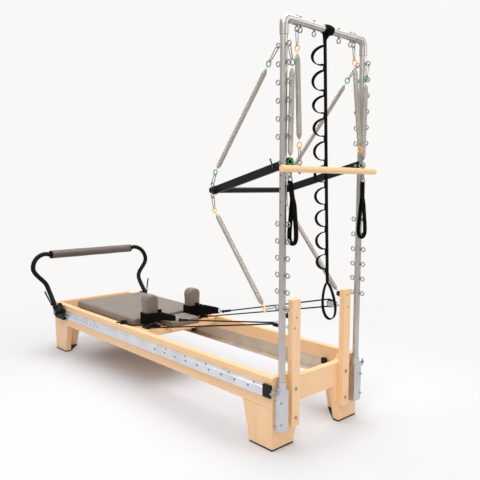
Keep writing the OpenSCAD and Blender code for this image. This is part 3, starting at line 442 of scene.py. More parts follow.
# %% Floor
floor_half, floor_drop = 14.0, 0.0005
square = np.array([[-1, -1, 0], [1, -1, 0], [1, 1, 0], [-1, 1, 0]])
corners = square * floor_half - np.array([0, 0, floor_drop])
floor = make_piece("studio_floor", (corners, [[0, 1, 2, 3]], None), None, smooth=False)
paper = finish("studio_paper", (0.66, 0.66, 0.685), 0.9, Specular_IOR_Level=0.1)
away = node(paper, "VectorMath", {0: node(paper, "TexCoord").outputs["Object"]}, operation="LENGTH")
fade = node(paper, "MapRange", {"Value": away.outputs["Value"], "From Min": 0.9, "From Max": 3.2},
            interpolation_type="SMOOTHSTEP")
faded = math_on(paper, "MULTIPLY", fade.outputs[0], node(paper, "LightPath").outputs["Is Camera Ray"])
glow = node(paper, "Emission", {"Color": backdrop})
lit = paper.node_tree.nodes["Principled BSDF"]
paper_mix = node(paper, "MixShader", {0: faded, 1: lit.outputs[0], 2: glow.outputs[0]})
to_node(paper, "Material Output", "Surface", paper_mix.outputs[0])
floor.data.materials.append(paper)
print("floor ready")
# %% [markdown]
# ## Maple
#
# The frame is pale maple under a satin lacquer. Its grain is fine, runs along each board, and has
# soft wider bands from the tree's rings. Noise that is stretched thirty times along the grain gives
# both. Boards run along X, the end boards along Y, and the legs and posts stand upright, so the same
# graph is made for each direction.

# %% Maple
def maple(name, grain, pale=(0.97, 0.65, 0.365), dark=(0.90, 0.555, 0.285)):
    """Stretched noise: few waves along the grain direction, many across it."""
    material = finish(name, pale, 0.42, Coat_Weight=0.25, Coat_Roughness=0.3)
    fine = tuple(6.0 if axis == grain else 190.0 for axis in "xyz")
    wide = tuple(0.9 if axis == grain else 16.0 for axis in "xyz")
    fibre = noise(material, 1.0, 4.0, fine)
    bands = noise(material, 1.0, 2.5, wide, 0.7)
    total = math_on(material, "ADD", math_on(material, "MULTIPLY", fibre, 0.35),
                    math_on(material, "MULTIPLY", bands, 0.75))
    to_shader(material, "Base Color", mix_by(material, remap(material, total, 0.34, 0.72), pale, dark))
    to_shader(material, "Roughness", remap(material, fibre, to_low=0.34, to_high=0.52))
    raise_bump(material, fibre, 0.00012)
    return material


maple_x = maple("maple_along_x", "x")
maple_y = maple("maple_along_y", "y")
maple_z = maple("maple_upright", "z")
print("maple ready")

# %% [markdown]
# ## Metal
#
# The tower's tubes are brushed stainless steel, the rails are drawn aluminium with a satin face, and
# the foot bar and the push-through bar are powder coated black. Brushing is fine noise that is drawn
# out along the tube and moves the roughness. A powder coat has a slight orange peel.

# %% Metals
def brushed(name, colour, along, roughness=0.3, low=0.24, high=0.42, marks=900.0):
    """Noise drawn out along one axis varies the roughness, and slow noise clouds the colour."""
    material = finish(name, colour, roughness, 1.0)
    lines = noise(material, 1.0, 3.0, tuple(14.0 if axis == along else marks for axis in "xyz"))
    cloud = noise(material, 9.0, 3.0)
    to_shader(material, "Roughness", remap(material, lines, to_low=low, to_high=high))
    shade = remap(material, cloud, 0.3, 0.7)
    to_shader(material, "Base Color", mix_by(material, shade, colour, times(colour, 0.86)))
    raise_bump(material, lines, 0.00003)
    return material


def powder_coat(name, colour, roughness=0.38, peel=1500.0, shine=0.14):
    """Fine round noise as orange peel with a painted highlight on each raised bump, and slow patches of
    slightly different gloss.
    """
    material = finish(name, colour, roughness, Specular_IOR_Level=shine)
    fine = noise(material, peel, 2.0)
    patch = noise(material, 14.0, 2.0)
    rough = remap(material, patch, to_low=roughness - 0.07, to_high=roughness + 0.09)
    to_shader(material, "Roughness", rough)
    # Painted highlight: the colour is lighter where the orange peel stands up.
    to_shader(material, "Base Color", mix_by(material, fine, colour, times(colour, 1.5, 0.002)))
    raise_bump(material, fine, 0.00008)
    return material


steel_upright = brushed("steel_tube_upright", (0.60, 0.57, 0.52), "z")
# Painted shade: the level tubes get a darker copy of the same brushed steel as the uprights; only the
# brushing direction is a real difference.
shaded_steel_level = brushed("steel_tube_level_shaded", (0.55, 0.52, 0.48), "y")
bright_steel = brushed("bright_steel", (0.40, 0.38, 0.355), "x", 0.26, 0.20, 0.34, 400.0)
rail_metal = brushed("rail_aluminium", (0.80, 0.81, 0.84), "x", 0.42, 0.36, 0.55)
track_metal = brushed("track_aluminium", (0.76, 0.67, 0.57), "x", 0.55, 0.48, 0.64)
bracket_metal = brushed("bracket_aluminium", (0.66, 0.66, 0.67), "z", 0.42, 0.36, 0.52)
black_coat = powder_coat("black_powder_coat", (0.010, 0.010, 0.011))
# Painted shade: the foot bar and its parts get a darker copy of the same black powder coat.
shaded_foot_coat = powder_coat("foot_bar_coat", (0.004, 0.004, 0.0045), shine=0.09)
black_moulding = powder_coat("black_moulding", (0.012, 0.012, 0.013), 0.5, 900.0)
blue_coat = powder_coat("blue_black_coat", (0.012, 0.022, 0.075), 0.3, shine=0.4)
soft_rubber = powder_coat("black_rubber", (0.012, 0.011, 0.011), 0.72, 500.0)
green_enamel = powder_coat("green_enamel", (0.005, 0.26, 0.09), 0.25, shine=0.4)
yellow_enamel = powder_coat("yellow_enamel", (0.90, 0.43, 0.01), 0.25, shine=0.4)
spring_wire_steel = brushed("spring_wire_steel", (0.62, 0.575, 0.515), "z", 0.55, 0.5, 0.62, 120.0)
print("metals ready")

# %% [markdown]
# ## Upholstery and webbing
#
# The pads wear a smooth taupe vinyl with a fine pebbled grain. Webbing is woven: ribs run across the
# strap every millimetre and a half and fine threads run along it. The rope's braid is two sets of
# spirals that cross. Webbing and rope read the vector that each mesh carries, so that the weave
# follows the strap round every bend.

# %% Vinyl and woven finishes
def vinyl(name, colour):
    """Cells of Voronoi noise are the pebbles, painted shade darkens the gaps between them, and slow noise
    shifts tone and gloss.
    """
    material = finish(name, colour, 0.46, Sheen_Weight=0.30, Sheen_Roughness=0.35, Specular_IOR_Level=0.6)
    pebbles = node(material, "TexVoronoi", {"Vector": place_on(material), "Scale": 640.0}).outputs["Distance"]
    clouds = noise(material, 7.0, 4.0)
    base = mix_by(material, remap(material, clouds, 0.3, 0.7), colour, times(colour, 0.86))
    # Painted shade: the colour darkens toward the gaps between pebbles, where the bump is lowest.
    pebble_gap_shade = remap(material, pebbles, 0.2, 0.7, 0.0, 0.35)
    to_shader(material, "Base Color", mix_by(material, pebble_gap_shade, base, times(colour, 0.7)))
    to_shader(material, "Roughness", remap(material, clouds, to_low=0.38, to_high=0.56))
    raise_bump(material, math_on(material, "SUBTRACT", 1.0, pebbles), 0.00018, 0.8)
    return material


def lay_parts(material):
    """The three parts of the lay vector that a mesh carries."""
    lay = node(material, "Attribute", attribute_name="lay").outputs["Vector"]
    return node(material, "SeparateXYZ", {0: lay}).outputs


def woven(name, colour, rib_pitch=0.0016, thread_pitch=0.0022):
    """Ribs across the strap and threads along it, from the lay vector: x along, y across."""
    material = finish(name, colour, 0.78, Specular_IOR_Level=0.05)
    x, y, _ = lay_parts(material)
    ribs = math_on(material, "SINE", math_on(material, "MULTIPLY", x, 2 * math.pi / rib_pitch))
    threads = math_on(material, "SINE", math_on(material, "MULTIPLY", y, 2 * math.pi / thread_pitch))
    weave = math_on(material, "MULTIPLY", ribs, threads)
    height = remap(material, math_on(material, "ADD", weave, ribs), -2.0, 2.0)
    # Painted shade and highlight: the weave is darker in its hollows and lighter on its raised threads.
    to_shader(material, "Base Color", mix_by(material, height, colour, times(colour, 1.8, 0.0015)))
    raise_bump(material, height, 0.00035)
    return material


def braided(name, colour, turns=4.0, pitch=0.011):
    """Two crossing spirals: sine of turns times the angle plus and minus the length along the rope."""
    material = finish(name, colour, 0.72, Specular_IOR_Level=0.12)
    x, y, z = lay_parts(material)
    angle = math_on(material, "MULTIPLY", math_on(material, "ARCTAN2", z, y), turns)
    run = math_on(material, "MULTIPLY", x, 2 * math.pi / pitch * turns / 2)
    over = math_on(material, "SINE", math_on(material, "ADD", angle, run))
    under = math_on(material, "SINE", math_on(material, "SUBTRACT", angle, run))
    height = remap(material, math_on(material, "MAXIMUM", over, under), -0.4, 1.0)
    # Painted shade and highlight: the braid is darker between its strands and lighter on their crests.
    to_shader(material, "Base Color", mix_by(material, height, times(colour, 0.5), times(colour, 1.9, 0.01)))
    raise_bump(material, height, 0.0005)
    return material


taupe_vinyl = vinyl("taupe_vinyl", (0.215, 0.166, 0.131))
# Painted shade: the foot bar grip gets a darker copy of the taupe vinyl.
shaded_grip_vinyl = vinyl("shaded_grip_vinyl", (0.115, 0.086, 0.067))
black_webbing = woven("black_webbing", (0.0025, 0.0025, 0.003))
black_braid = braided("black_braid", (0.003, 0.003, 0.0035))
for piece in (*(rope for rope, _ in ropes.values()), rope_knot, *sleeves.values()):
    dress(piece, black_braid)
print("cloth finishes ready")

# %% [markdown]
# ## Finishes for the hard pieces that stay
#
# The CAD nodes below already have the right shape, so each only takes its finish.

# %% Finish the CAD nodes
node_finish = (
    (maple_x, "side_boards carriage_deck headrest_board"),
    (maple_y, "end_boards deck_battens roll_down_bar"),
    (maple_z, "legs risers"),
    (steel_upright, "uprights"),
    (shaded_steel_level, "elbows crossbar"),
    (bright_steel, "eye_bolts bolts near_clamp_screw far_clamp_screw"),
    (bright_steel, "strap_rings foot_bar_pins push_bar_clips"),
    (rail_metal, "outer_rails"),
    (track_metal, "inner_rails wheel_brackets"),
    (bracket_metal, "tower_brackets near_pulley_block far_pulley_block"),
    (spring_wire_steel, "push_bar_springs roll_down_springs arm_springs carriage_springs"),
    (black_coat, "spring_bar push_bar"),
    (shaded_foot_coat, "rest_posts foot_bar_brackets foot_bar near_foot_lever far_foot_lever"),
    (black_moulding, "rail_end_caps rope_cleats near_pulley_wheel far_pulley_wheel near_pulley_knob"),
    (black_moulding, "far_pulley_knob near_foot_wheel near_head_wheel far_foot_wheel far_head_wheel"),
    (soft_rubber, "foot_pads rail_stops"),
    (blue_coat, "latch_lever"),
    (green_enamel, "green_clips"),
    (yellow_enamel, "yellow_clips"),
    (black_webbing, "ladder_strap shoulder_straps near_hand_loop far_hand_loop"),
    (black_braid, "near_rope far_rope"),
    (taupe_vinyl, "mattress shoulder_rests headrest foot_bar_pad"),
)
finished = 0
for material, names in node_finish:
    for name in names.split():
        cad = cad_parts[name]
        cad.data.materials.clear()
        cad.data.materials.append(material)
        finished += 1
print("finished", finished, "of", len(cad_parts), "nodes")

# %% [markdown]
# ## Springs
#
# A tower spring is wound so tightly that its turns touch. It is one wire: a helix whose radius grows
# from nothing in a short cone, keeps its full width, and closes to the axis again. Its ends go
# straight into the coloured rings. With a hundred and fifty turns each, six sides on the wire are
# enough. The bars' springs run between the two bodies that they join.

# %% Spring shape
def wound_spring(p, q, outer=0.0245, wire=0.0027, seat=0.0153, per_turn=10, cone=0.020, lead=0.010):
    """A helix on the line from p to q: radius times (cos, sin) of the turns, with cones at both ends."""
    p, q = np.asarray(p, float), np.asarray(q, float)
    axis = unit(q - p)
    body = np.linalg.norm(q - p) - 2 * seat - 2 * lead
    turns = int(body / (wire * 1.04))
    t = np.linspace(0, 1, turns * per_turn + 1)
    radius = (outer - wire) / 2 * np.clip(np.minimum(t, 1 - t) * body / cone, 0.0, 1.0) ** 0.6
    a = 2 * np.pi * turns * t
    x = unit(np.cross(axis, [0, 1, 0]))
    y = np.cross(axis, x)
    spiral = radius[:, None] * (np.cos(a)[:, None] * x + np.sin(a)[:, None] * y)
    coil = p + axis * (seat + lead) + axis * (t * body)[:, None] + spiral
    ends = [p + axis * (seat - 0.0008 + lead * s) for s in (0, 0.4, 0.8)]
    tails = [q - axis * (seat - 0.0008 + lead * s) for s in (0.8, 0.4, 0)]
    return tube(np.vstack([ends, coil, tails]), wire / 2, axis + 0.001, 6)


push_x, push_z, clip_y, clip_up = upright_x - 0.514, 1.207, 0.2625, 0.0285
eye_high, eye_floor = 1.825, 1.064 - 5 * 0.0762
roll_top = np.array([upright_x, 0.197, tower_top - 0.033])
roll_eye = np.array([upright_x + 0.047, 0.219, 1.334])
loop_eye = np.array([upright_x + 0.030, 0.260, 1.262])
spring_ends = {}
for name, s in near_far:
    spring_ends[f"{name}_upper_push"] = (
        (upright_x - 0.094, s * 0.274, eye_high - 0.066), (push_x + 0.024, s * clip_y, push_z + 0.088),
        "push_bar_body")
    spring_ends[f"{name}_lower_push"] = (
        (upright_x - 0.117, s * 0.272, eye_floor - 0.024), (push_x + 0.014, s * clip_y, push_z - 0.100),
        "push_bar_body")
    top, low = roll_top * [1, s, 1], roll_eye * [1, s, 1]
    spring_ends[f"{name}_roll_down"] = (top + 0.14 * (low - top), top + 0.87 * (low - top), "roll_down_body")
    spring_ends[f"{name}_arm"] = (
        (upright_x + 0.034, s * 0.258, eye_high - 0.074), (upright_x + 0.028, s * 0.2598, 1.334), "frame")

# %% Make the tower springs
stands_for = {"push": "push_bar_springs", "down": "roll_down_springs", "arm": "arm_springs"}
for name, (p, q, body) in spring_ends.items():
    fixed = body == "frame"
    spring = make_piece(f"{name}_spring", wound_spring(p, q), "frame" if fixed else None)
    dress(spring, spring_wire_steel, stands_for[name.split("_")[-1]])
    if not fixed:
        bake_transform(spring)
    print(name, "spring", len(spring.data.polygons), "faces")

# %% [markdown]
# ## Snap hooks and coloured rings
#
# Each chain is an eye, a closed snap hook, a coloured ring and the spring. The ring's colour tells
# the spring's pull. The hook stands across the two rings that it joins, so both can swing in it. It
# is pear shaped, wide at the eye, and one side is its gate, a straight bar with a nose at each end.

# %% Hooks and rings
hook_wide, hook_slim, hook_wire = 0.0080, 0.0046, 0.0022
ring_r, ring_wire, eye_hole, play = 0.013, 0.0026, 0.0075, 0.0003


def hook_and_ring(eye, ring):
    """The hook is a pear: a wide arc at the eye, a slim one at the ring, and the lines that touch both."""
    eye, ring = np.asarray(eye, float), np.asarray(ring, float)
    eye_r = eye_hole + 0.003
    touch = eye + eye_r * unit((ring - eye) * np.array([1.0, 0, 1.0]))
    eye = touch + eye_r * unit(touch - ring)
    axis = unit(ring - eye)
    plane = unit(np.cross([0, 1.0, 0], axis))
    across = np.cross(axis, plane)
    top = -np.linalg.norm(ring - eye) + eye_hole - hook_wire - play + hook_wide
    low = -(ring_r - ring_wire - hook_wire - play) - hook_slim
    slant = math.asin((hook_wide - hook_slim) / (low - top))
    a = np.linspace(slant, np.pi - slant, 13)[:, None]
    b = np.linspace(np.pi + slant, -slant, 17)[:, None]
    low_arc = ring + axis * (low + hook_slim * np.sin(a)) + across * hook_slim * np.cos(a)
    top_arc = ring + axis * (top - hook_wide * np.sin(b)) + across * hook_wide * np.cos(b)
    hook = tube(np.vstack([low_arc, top_arc]), hook_wire, plane, 12, True)
    t = np.linspace(0.06, 0.86, 8)[:, None]
    gate = tube(top_arc[-1] + (low_arc[0] - top_arc[-1]) * t,
                hook_wire * np.array([1.25, 1.3, 1.15, 1.1, 1.1, 1.15, 1.3, 1.2]), plane, 12)
    t = np.linspace(0, 2 * np.pi, 40, endpoint=False)[:, None]
    loop = ring + ring_r * (np.cos(t) * axis + np.sin(t) * plane)
    return joined([hook, gate]), tube(loop, ring_wire, across, 14, True)


chains = []
for name, s in near_far:
    hole = upright_x - 0.033
    upper, lower = spring_ends[f"{name}_upper_push"], spring_ends[f"{name}_lower_push"]
    roll, arm = spring_ends[f"{name}_roll_down"], spring_ends[f"{name}_arm"]
    chains += [
        (f"{name}_push_top", (hole, s * tower_y, eye_high), upper[0], "frame", False),
        (f"{name}_arm_top", (upright_x + 0.033, s * tower_y, eye_high), arm[0], "frame", False),
        (f"{name}_push_foot", (hole, s * tower_y, eye_floor), lower[0], "frame", True),
        (f"{name}_roll_top", roll_top * [1, s, 1], roll[0], "frame", True),
        (f"{name}_bar_top", (push_x, s * clip_y, push_z + clip_up), upper[1], "push_bar_body", False),
        (f"{name}_bar_low", (push_x, s * clip_y, push_z - clip_up), lower[1], "push_bar_body", True),
        (f"{name}_dowel", roll_eye * [1, s, 1], roll[1], "roll_down_body", True),
        (f"{name}_loop_clip", loop_eye * [1, s, 1], arm[1], "frame", False),
    ]

# %% Make the chains
for name, eye, ring, body, yellow in chains:
    hook, loop = hook_and_ring(eye, ring)
    dress(make_piece(f"{name}_hook", hook, body), bright_steel)
    colour = "yellow" if yellow else "green"
    node_here = {"frame": f"{colour}_clips", "push_bar_body": "push_bar_clips"}.get(body)
    dress(make_piece(f"{name}_ring", loop, body), yellow_enamel if yellow else green_enamel,
          node_here)
print(len(chains), "hooks and rings")

# %% [markdown]
# ## Eyes on the push-through bar
#
# A long eye bolt goes through the bar and stands out above and below it, so that springs can hang
# from the top or pull from the floor.

# %% Push bar eyes
def eye_ring(middle):
    """The ring of an eye bolt: a circle in the X-Z plane round its middle."""
    t = np.linspace(0, 2 * np.pi, 40, endpoint=False)[:, None]
    circle = middle + 0.0105 * (np.cos(t) * np.array([1.0, 0, 0]) + np.sin(t) * np.array([0, 0, 1.0]))
    return tube(circle, 0.003, (0, 1, 0), 14, True)


upright = (0, 0, 1)
nut = np.array([[0.003, 0], [0.0055, 0.0004], [0.0058, 0.0012], [0.0058, 0.0021], [0.003, 0.0024]])
for name, s in near_far:
    parts = []
    for sign in (1, -1):
        middle = np.array([push_x, s * clip_y, push_z + sign * clip_up])
        parts.append(eye_ring(middle))
        parts.append(turned(nut * np.array([1, sign]), middle - np.array([0, 0, sign * 0.0139]), upright, 6))
    parts.append(turned([[0.003, -0.019], [0.003, 0.019]], (push_x, s * clip_y, push_z), upright, 16))
    eyes = outward(make_piece(f"{name}_bar_eyes", joined(parts), "push_bar_body"))
    dress(eyes, bright_steel, "push_bar_clips")
print("push bar eyes made")

# %% [markdown]
# ## Roll-down bar
#
# A turned maple dowel with softly rounded ends hangs from two springs. It is a solid of revolution,
# so one profile spun about its axis gives it. An eye bolt with a nut below holds each spring.

# %% Dowel and its eyes
dowel_x, dowel_z, dowel_half = upright_x + 0.047, 1.305, 0.332
arc = np.radians(np.linspace(0, 90, 7))
end_arc = np.stack([0.012 + 0.003 * np.sin(arc), -dowel_half + 0.003 * (1 - np.cos(arc))], axis=1)
profile = np.vstack([[[0.004, -dowel_half]], end_arc, [[0.015, y] for y in np.linspace(-0.3, 0.3, 7)],
                     end_arc[::-1] * [1, -1], [[0.004, dowel_half]]])
dowel = turned(profile, (dowel_x, 0, dowel_z), (0, 1, 0), 40)
dress(outward(make_piece("dowel", dowel, "roll_down_body")), maple_y, "roll_down_bar")
parts = []
nut = [[0.0058, -0.0492], [0.0062, -0.0485], [0.0062, -0.0448], [0.0058, -0.0442]]
for name, s in near_far:
    middle = roll_eye * [1, s, 1]
    parts += [eye_ring(middle), turned([[0.003, -0.0515], [0.003, -0.0095]], middle, upright, 16),
              turned(nut, middle, upright, 6)]
dress(outward(make_piece("dowel_eyes", joined(parts), "roll_down_body")), bright_steel)
print("dowel", round(2 * dowel_half, 3), "m")

# %% [markdown]
# ## Flat webbing
#
# A strap is a thin rounded rectangle carried along a path, always with its width along one
# direction. The lay vector holds the distance along and across it for the weave.

# %% Strap helper
def strap(path, thick, width, across, closed=False):
    """Carries a flat rounded rectangle along the path: half thickness on u, half width on across."""
    path = np.asarray(path, float)
    tangent, _, _ = path_frames(path, (0.3, 0.2, 0.9), closed)
    across = np.broadcast_to(unit(np.asarray(across, float)), path.shape)
    u = unit(np.cross(across, tangent))
    ring = np.array([[1, -0.93], [1, -0.5], [1, 0], [1, 0.5], [1, 0.93], [0.55, 1], [-0.55, 1], [-1, 0.93],
                     [-1, 0.5], [-1, 0], [-1, -0.5], [-1, -0.93], [-0.55, -1], [0.55, -1]])
    thick = np.broadcast_to(np.asarray(thick, float), (len(path),))[:, None, None] / 2
    width = np.broadcast_to(np.asarray(width, float), (len(path),))[:, None, None] / 2
    points = (path[:, None] + ring[:, 0, None] * thick * u[:, None]
              + ring[:, 1, None] * width * across[:, None])
    along = lengths(path)[:, None]
    lay = np.stack(np.broadcast_arrays(along, ring[None, :, 1] * width[:, :, 0], ring[None, :, 0]), axis=-1)
    faces = grid_faces(len(path), len(ring), closed).tolist()
    if not closed:
        faces += end_caps(len(path), len(ring))
    return points.reshape(-1, 3), faces, lay.reshape(-1, 3)


print("strap helper ready")

# %% [markdown]
# ## Ladder strap
#
# A long webbing is knotted round the crossbar and falls almost straight down. A second one is sewn to
# it every ten centimetres and left slack between, which gives a row of open steps for a hand or foot.
# A teardrop loop closes its lower end. It hangs turned to the side, and a degree off upright.

# %% Ladder strap
ladder_joints = np.array([1877, 1769, 1656, 1554, 1449, 1339, 1238, 1134, 1029, 921, 825]) / 1000
turn, lean = math.radians(198), 0.029
ladder_out = np.array([math.cos(turn), math.sin(turn), 0])
ladder_across = np.array([-math.sin(turn), math.cos(turn), 0])
ladder_top = np.array([upright_x - 0.003, -0.009, 0.0])
strap_t, strap_w, ladder_foot = 0.0042, 0.026, 0.771
lay_gap = 1.3 * strap_t + 0.0003


def bight(z1, z2, depth):
    """Half a wave out from the strap, fuller below: depth times a power of the sine, evenly down."""
    a = np.radians(np.linspace(0, 180, 22))
    out = lay_gap + depth * np.sin(a) ** (1.15 - 0.45 * a / np.pi)
    z = z1 + (z2 - z1) * ((1 - np.cos(a)) / 2) ** 0.9
    return np.stack([out, z], axis=1)


steps = [bight(ladder_joints[k] - 0.012, ladder_joints[k + 1] + 0.012, 0.059 - 0.0013 * k) for k in range(10)]
steps = np.vstack(steps + [[[lay_gap, ladder_joints[-1]]]])
a = np.linspace(0, 2 * np.pi, 49)
tear = np.stack([0.031 * np.sin(a) * (1 - 0.35 * np.cos(a)) - 0.006 * (1 - np.cos(a)),
                 ladder_foot - 0.088 * (1 - np.cos(a))], axis=1)
fall = np.stack([np.zeros(40), np.linspace(tower_top - 0.0205, ladder_foot - 0.002, 40)], axis=1)
parts = []
for line in (fall, steps, tear):
    out = line[:, :1] + lean * (line[:, 1:] - tower_top)
    path = resample(ladder_top + out * ladder_out + line[:, 1:] * np.array([0, 0, 1.0]), 0.004)
    parts.append(strap(path, strap_t * (1.6 if line is fall else 1.0), strap_w, ladder_across))
a = np.linspace(0, 2 * np.pi, 48, endpoint=False)
for k, y in enumerate((-0.009, 0.006, 0.021)):
    r = 0.0182 + 0.0036 * (k == 1)
    wind = np.stack([upright_x + r * np.cos(a), y + 0.004 * np.sin(a), tower_top + r * np.sin(a)], 1)
    parts.append(strap(wind, strap_t, 0.0265, (0, 1, 0), True))
for y, drop in ((-0.012, 0.0), (0.010, 0.004)):
    gather = resample([[upright_x, y, tower_top - 0.0185],
                       [upright_x - 0.001, 0.5 * y - 0.005, tower_top - 0.030],
                       [upright_x - 0.003, -0.010, tower_top - 0.046 - drop],
                       [upright_x - 0.003, -0.010, tower_top - 0.060 - drop]], 0.003)
    parts.append(strap(gather, 0.0045, np.linspace(0.026, 0.012, len(gather)), (0.3, 1, 0)))
ladder = dress(make_piece("ladder_webbing", joined(parts), "frame"), black_webbing, "ladder_strap")
print("ladder strap", len(ladder.data.polygons), "faces")

# %% [markdown]
# ## Hand loops
#
# A hand loop is webbing that folds over its ring, runs down as a doubled neck and opens into a
# teardrop. The lower part wears a thick padded sleeve for the palm. Two pieces make it: the webbing,
# and a sleeve whose section swells from the webbing's to a fat oval.

# %% Hand loop shape
def loop_path(s):
    """One side of the loop falls from the ring and opens, the other is its mirror image."""
    fall = np.array([[3.2, 5], [3.2, -24], [3.4, -68], [6, -82], [8.5, -104], [13, -150], [18, -195],
                     [20.5, -230], [19, -252], [11, -268]]) / 1000
    top = loop_eye - np.array([0, 0, 0.0135])
    t = np.minimum(1, -fall[:, 1:] / 0.09)
    middle = top + t * (np.array([upright_x + 0.038, 0.250, top[2]]) - top)
    out, down = fall[:, :1] * np.array([1.0, 0, 0]), fall[:, 1:] * np.array([0, 0, 1.0])
    bottom = np.array([[upright_x + 0.038, 0.250, top[2] - 0.273]])
    return np.vstack([middle + out + down, bottom, (middle - out + down)[::-1]]) * np.array([1, s, 1])


pad_top, pad_sides = 1.166, 20
for name, s in near_far:
    path = resample(loop_path(s), 0.004)
    web = strap(path, 0.0034, 0.0235, (0, 1, 0))
    sleeve = path[path[:, 2] < pad_top]
    rows = len(sleeve)
    u = np.linspace(0, 1, rows)
    swell = np.clip(np.minimum(u, 1 - u) / 0.06, 0, 1) ** 0.5
    a = np.linspace(0, 2 * np.pi, pad_sides, endpoint=False)
    tangent, _, _ = path_frames(sleeve, (0.3, 0.2, 0.9))
    across = np.array([0, 1.0, 0])
    normal = unit(np.cross(across, tangent))
    t_half, w_half = 0.0026 + 0.0042 * swell, 0.0121 + 0.0012 * swell
    points = (sleeve[:, None] + (t_half[:, None] * np.cos(a))[:, :, None] * normal[:, None]
              + (w_half[:, None] * np.sin(a))[:, :, None] * across)
    along = np.linspace(0, 0.5, rows)[:, None]
    lay = np.stack(np.broadcast_arrays(along, 0.013 * np.sin(a)[None], np.cos(a)[None]), axis=-1)
    pad = (points, grid_faces(rows, pad_sides).tolist() + end_caps(rows, pad_sides), lay)
    body = f"{name}_loop"
    dress(make_piece(f"{name}_loop_webbing", joined([web, pad]), body), black_webbing,
          f"{name}_hand_loop")
    dress(make_piece(f"{name}_loop_ring", eye_ring(loop_eye * [1, s, 1]), body), bright_steel)
print("hand loops made")

# %% [markdown]
# ## Shoulder webbing
#
# A wide band goes round each shoulder rest. Past it the two sides draw together, rise and narrow to
# a short tongue round a steel ring, where the rope is tied.

# %% Shoulder bands
rest_x, rest_y = -0.128, 0.163
front, half = ring_x - 0.018, 0.048
back_x = rest_x - 0.033 - 0.004
plan = np.array([[front, 0.005], [rest_x + 0.150, 0.009], [rest_x + 0.080, 0.018],
                 [rest_x + 0.039, half - 0.002], [rest_x, half], [rest_x - 0.029, half],
                 [back_x + 0.001, half - 0.010], [back_x, 0]])
top_edge = np.array([108, 104, 97, 89, 87, 87, 87, 87]) / 1000
tall_by_side = {"near": np.array([32, 44, 60, 70, 72, 72, 72, 72]) / 1000,
                "far": np.array([38, 62, 72, 74, 72, 72, 72, 72]) / 1000}
tab_x, tab_z = rest_x + 0.080, deck_top + 0.079
for name, s in near_far:
    loop = np.vstack([plan, (plan * [1, -1])[:-1][::-1]])
    tall = tall_by_side[name]
    middle_z = deck_top + top_edge - tall / 2
    path = np.column_stack([loop[:, 0], loop[:, 1] + s * rest_y,
                            np.concatenate([middle_z, middle_z[:-1][::-1]])])
    fine = resample(np.vstack([path, path[:1]]), 0.006)[:-1]
    heights = np.interp(fine[:, 0], plan[::-1, 0], tall[::-1])
    tab = np.array([[tab_x, s * (rest_y - 0.0205), tab_z + h] for h in np.linspace(0, 0.034, 12)])
    band = joined([strap(fine, 0.0060, heights, (0, 0, 1), True), strap(tab, 0.0065, 0.025, (0.5, 0.8, 0))])
    dress(make_piece(f"{name}_shoulder_band", band, "carriage"), black_webbing, "shoulder_straps")
print("shoulder bands made")

# %% [markdown]
# ## Cushions
#
# Each cushion starts as a smooth closed form: a rounded rectangle whose sides pull in a little
# between the corners, stacked in rings from a flat base over a round edge to a crowned top. Cloth
# pressure then fills it, as stuffing fills a cover, and a cap keeps every point near its start. The
# welts come last, because the filling step would wipe them out: each is a thin cord of the same
# vinyl, and its path is the seam's line moved to the nearest point of the filled cushion.

# %% Cushion shape
def cushion_rings(length, width, levels, draw, power, count=144):
    """Rim points lie on |x|^p + |y|^p = 1. Each level scales the rim in by its inset and lifts it.

    Between the corners the sides draw in: by draw |x|^6 (1 - y^2) in x, and the same the other way.
    """
    a = np.linspace(0, 2 * np.pi, count, endpoint=False)
    a = a + 0.2 * np.sin(4 * a)
    c, s = np.cos(a), np.sin(a)
    size = (np.abs(c) ** power + np.abs(s) ** power) ** (-1 / power)
    inset, lift = np.asarray(levels, float).T[:, :, None]
    u, v = c * size, s * size
    x = u * (length / 2 - inset) - np.sign(u) * draw * np.abs(u) ** 6 * (1 - v ** 2)
    y = v * (width / 2 - inset) - np.sign(v) * draw * np.abs(v) ** 6 * (1 - u ** 2)
    return np.stack([x, y, np.broadcast_to(lift, x.shape)], axis=-1)


def arch(y, half, bend):
    """How far the top stands below its middle: bend - sqrt(bend^2 - d^2), d = |y| - (half - bend)."""
    d = np.clip(np.abs(y) - (half - bend), 0, bend)
    return bend - np.sqrt(bend ** 2 - d ** 2)


def cushion(name, middle, length, width, height, edge, brow, crown, draw, power, bend=0.0):
    """Stacks the rings: a flat base, a rounded lower edge, upright sides, a rounded upper edge, a crown.

    With a bend, every height z shrinks to z (1 - arch(y) / height), which rounds the top over.
    """
    a = np.radians(np.linspace(0, 90, 7))
    low = np.stack([edge * (1 - np.sin(a)), edge * 0.6 * (1 - np.cos(a))], axis=1)
    high = np.stack([brow * (1 - np.cos(a)), height - crown - brow * (1 - np.sin(a))], axis=1)
    reach = min(length, width) / 2
    t = np.linspace(0, 1, 10)[1:]
    top = np.stack([brow + (reach - brow - 0.003) * t, height - crown + crown * np.sin(t * np.pi / 2)], 1)
    base = np.stack([np.linspace(reach - 0.003, edge, 6)[:-1], np.zeros(5)], axis=1)
    points = cushion_rings(length, width, np.vstack([base, low, high, top]), draw, power)
    if bend:
        points[..., 2] *= 1 - arch(points[..., 1], width / 2, bend) / height
    rows, columns = points.shape[:2]
    faces = grid_faces(rows, columns).tolist() + end_caps(rows, columns)
    return outward(make_piece(name, (points + np.asarray(middle), faces, None), None))


def evaluated(piece):
    """A new mesh of the piece with its modifiers applied."""
    return bpy.data.meshes.new_from_object(piece.evaluated_get(bpy.context.evaluated_depsgraph_get()))


def points_of(mesh):
    """The mesh's points as an array."""
    points = np.empty(len(mesh.vertices) * 3)
    mesh.vertices.foreach_get("co", points)
    return points.reshape(-1, 3)


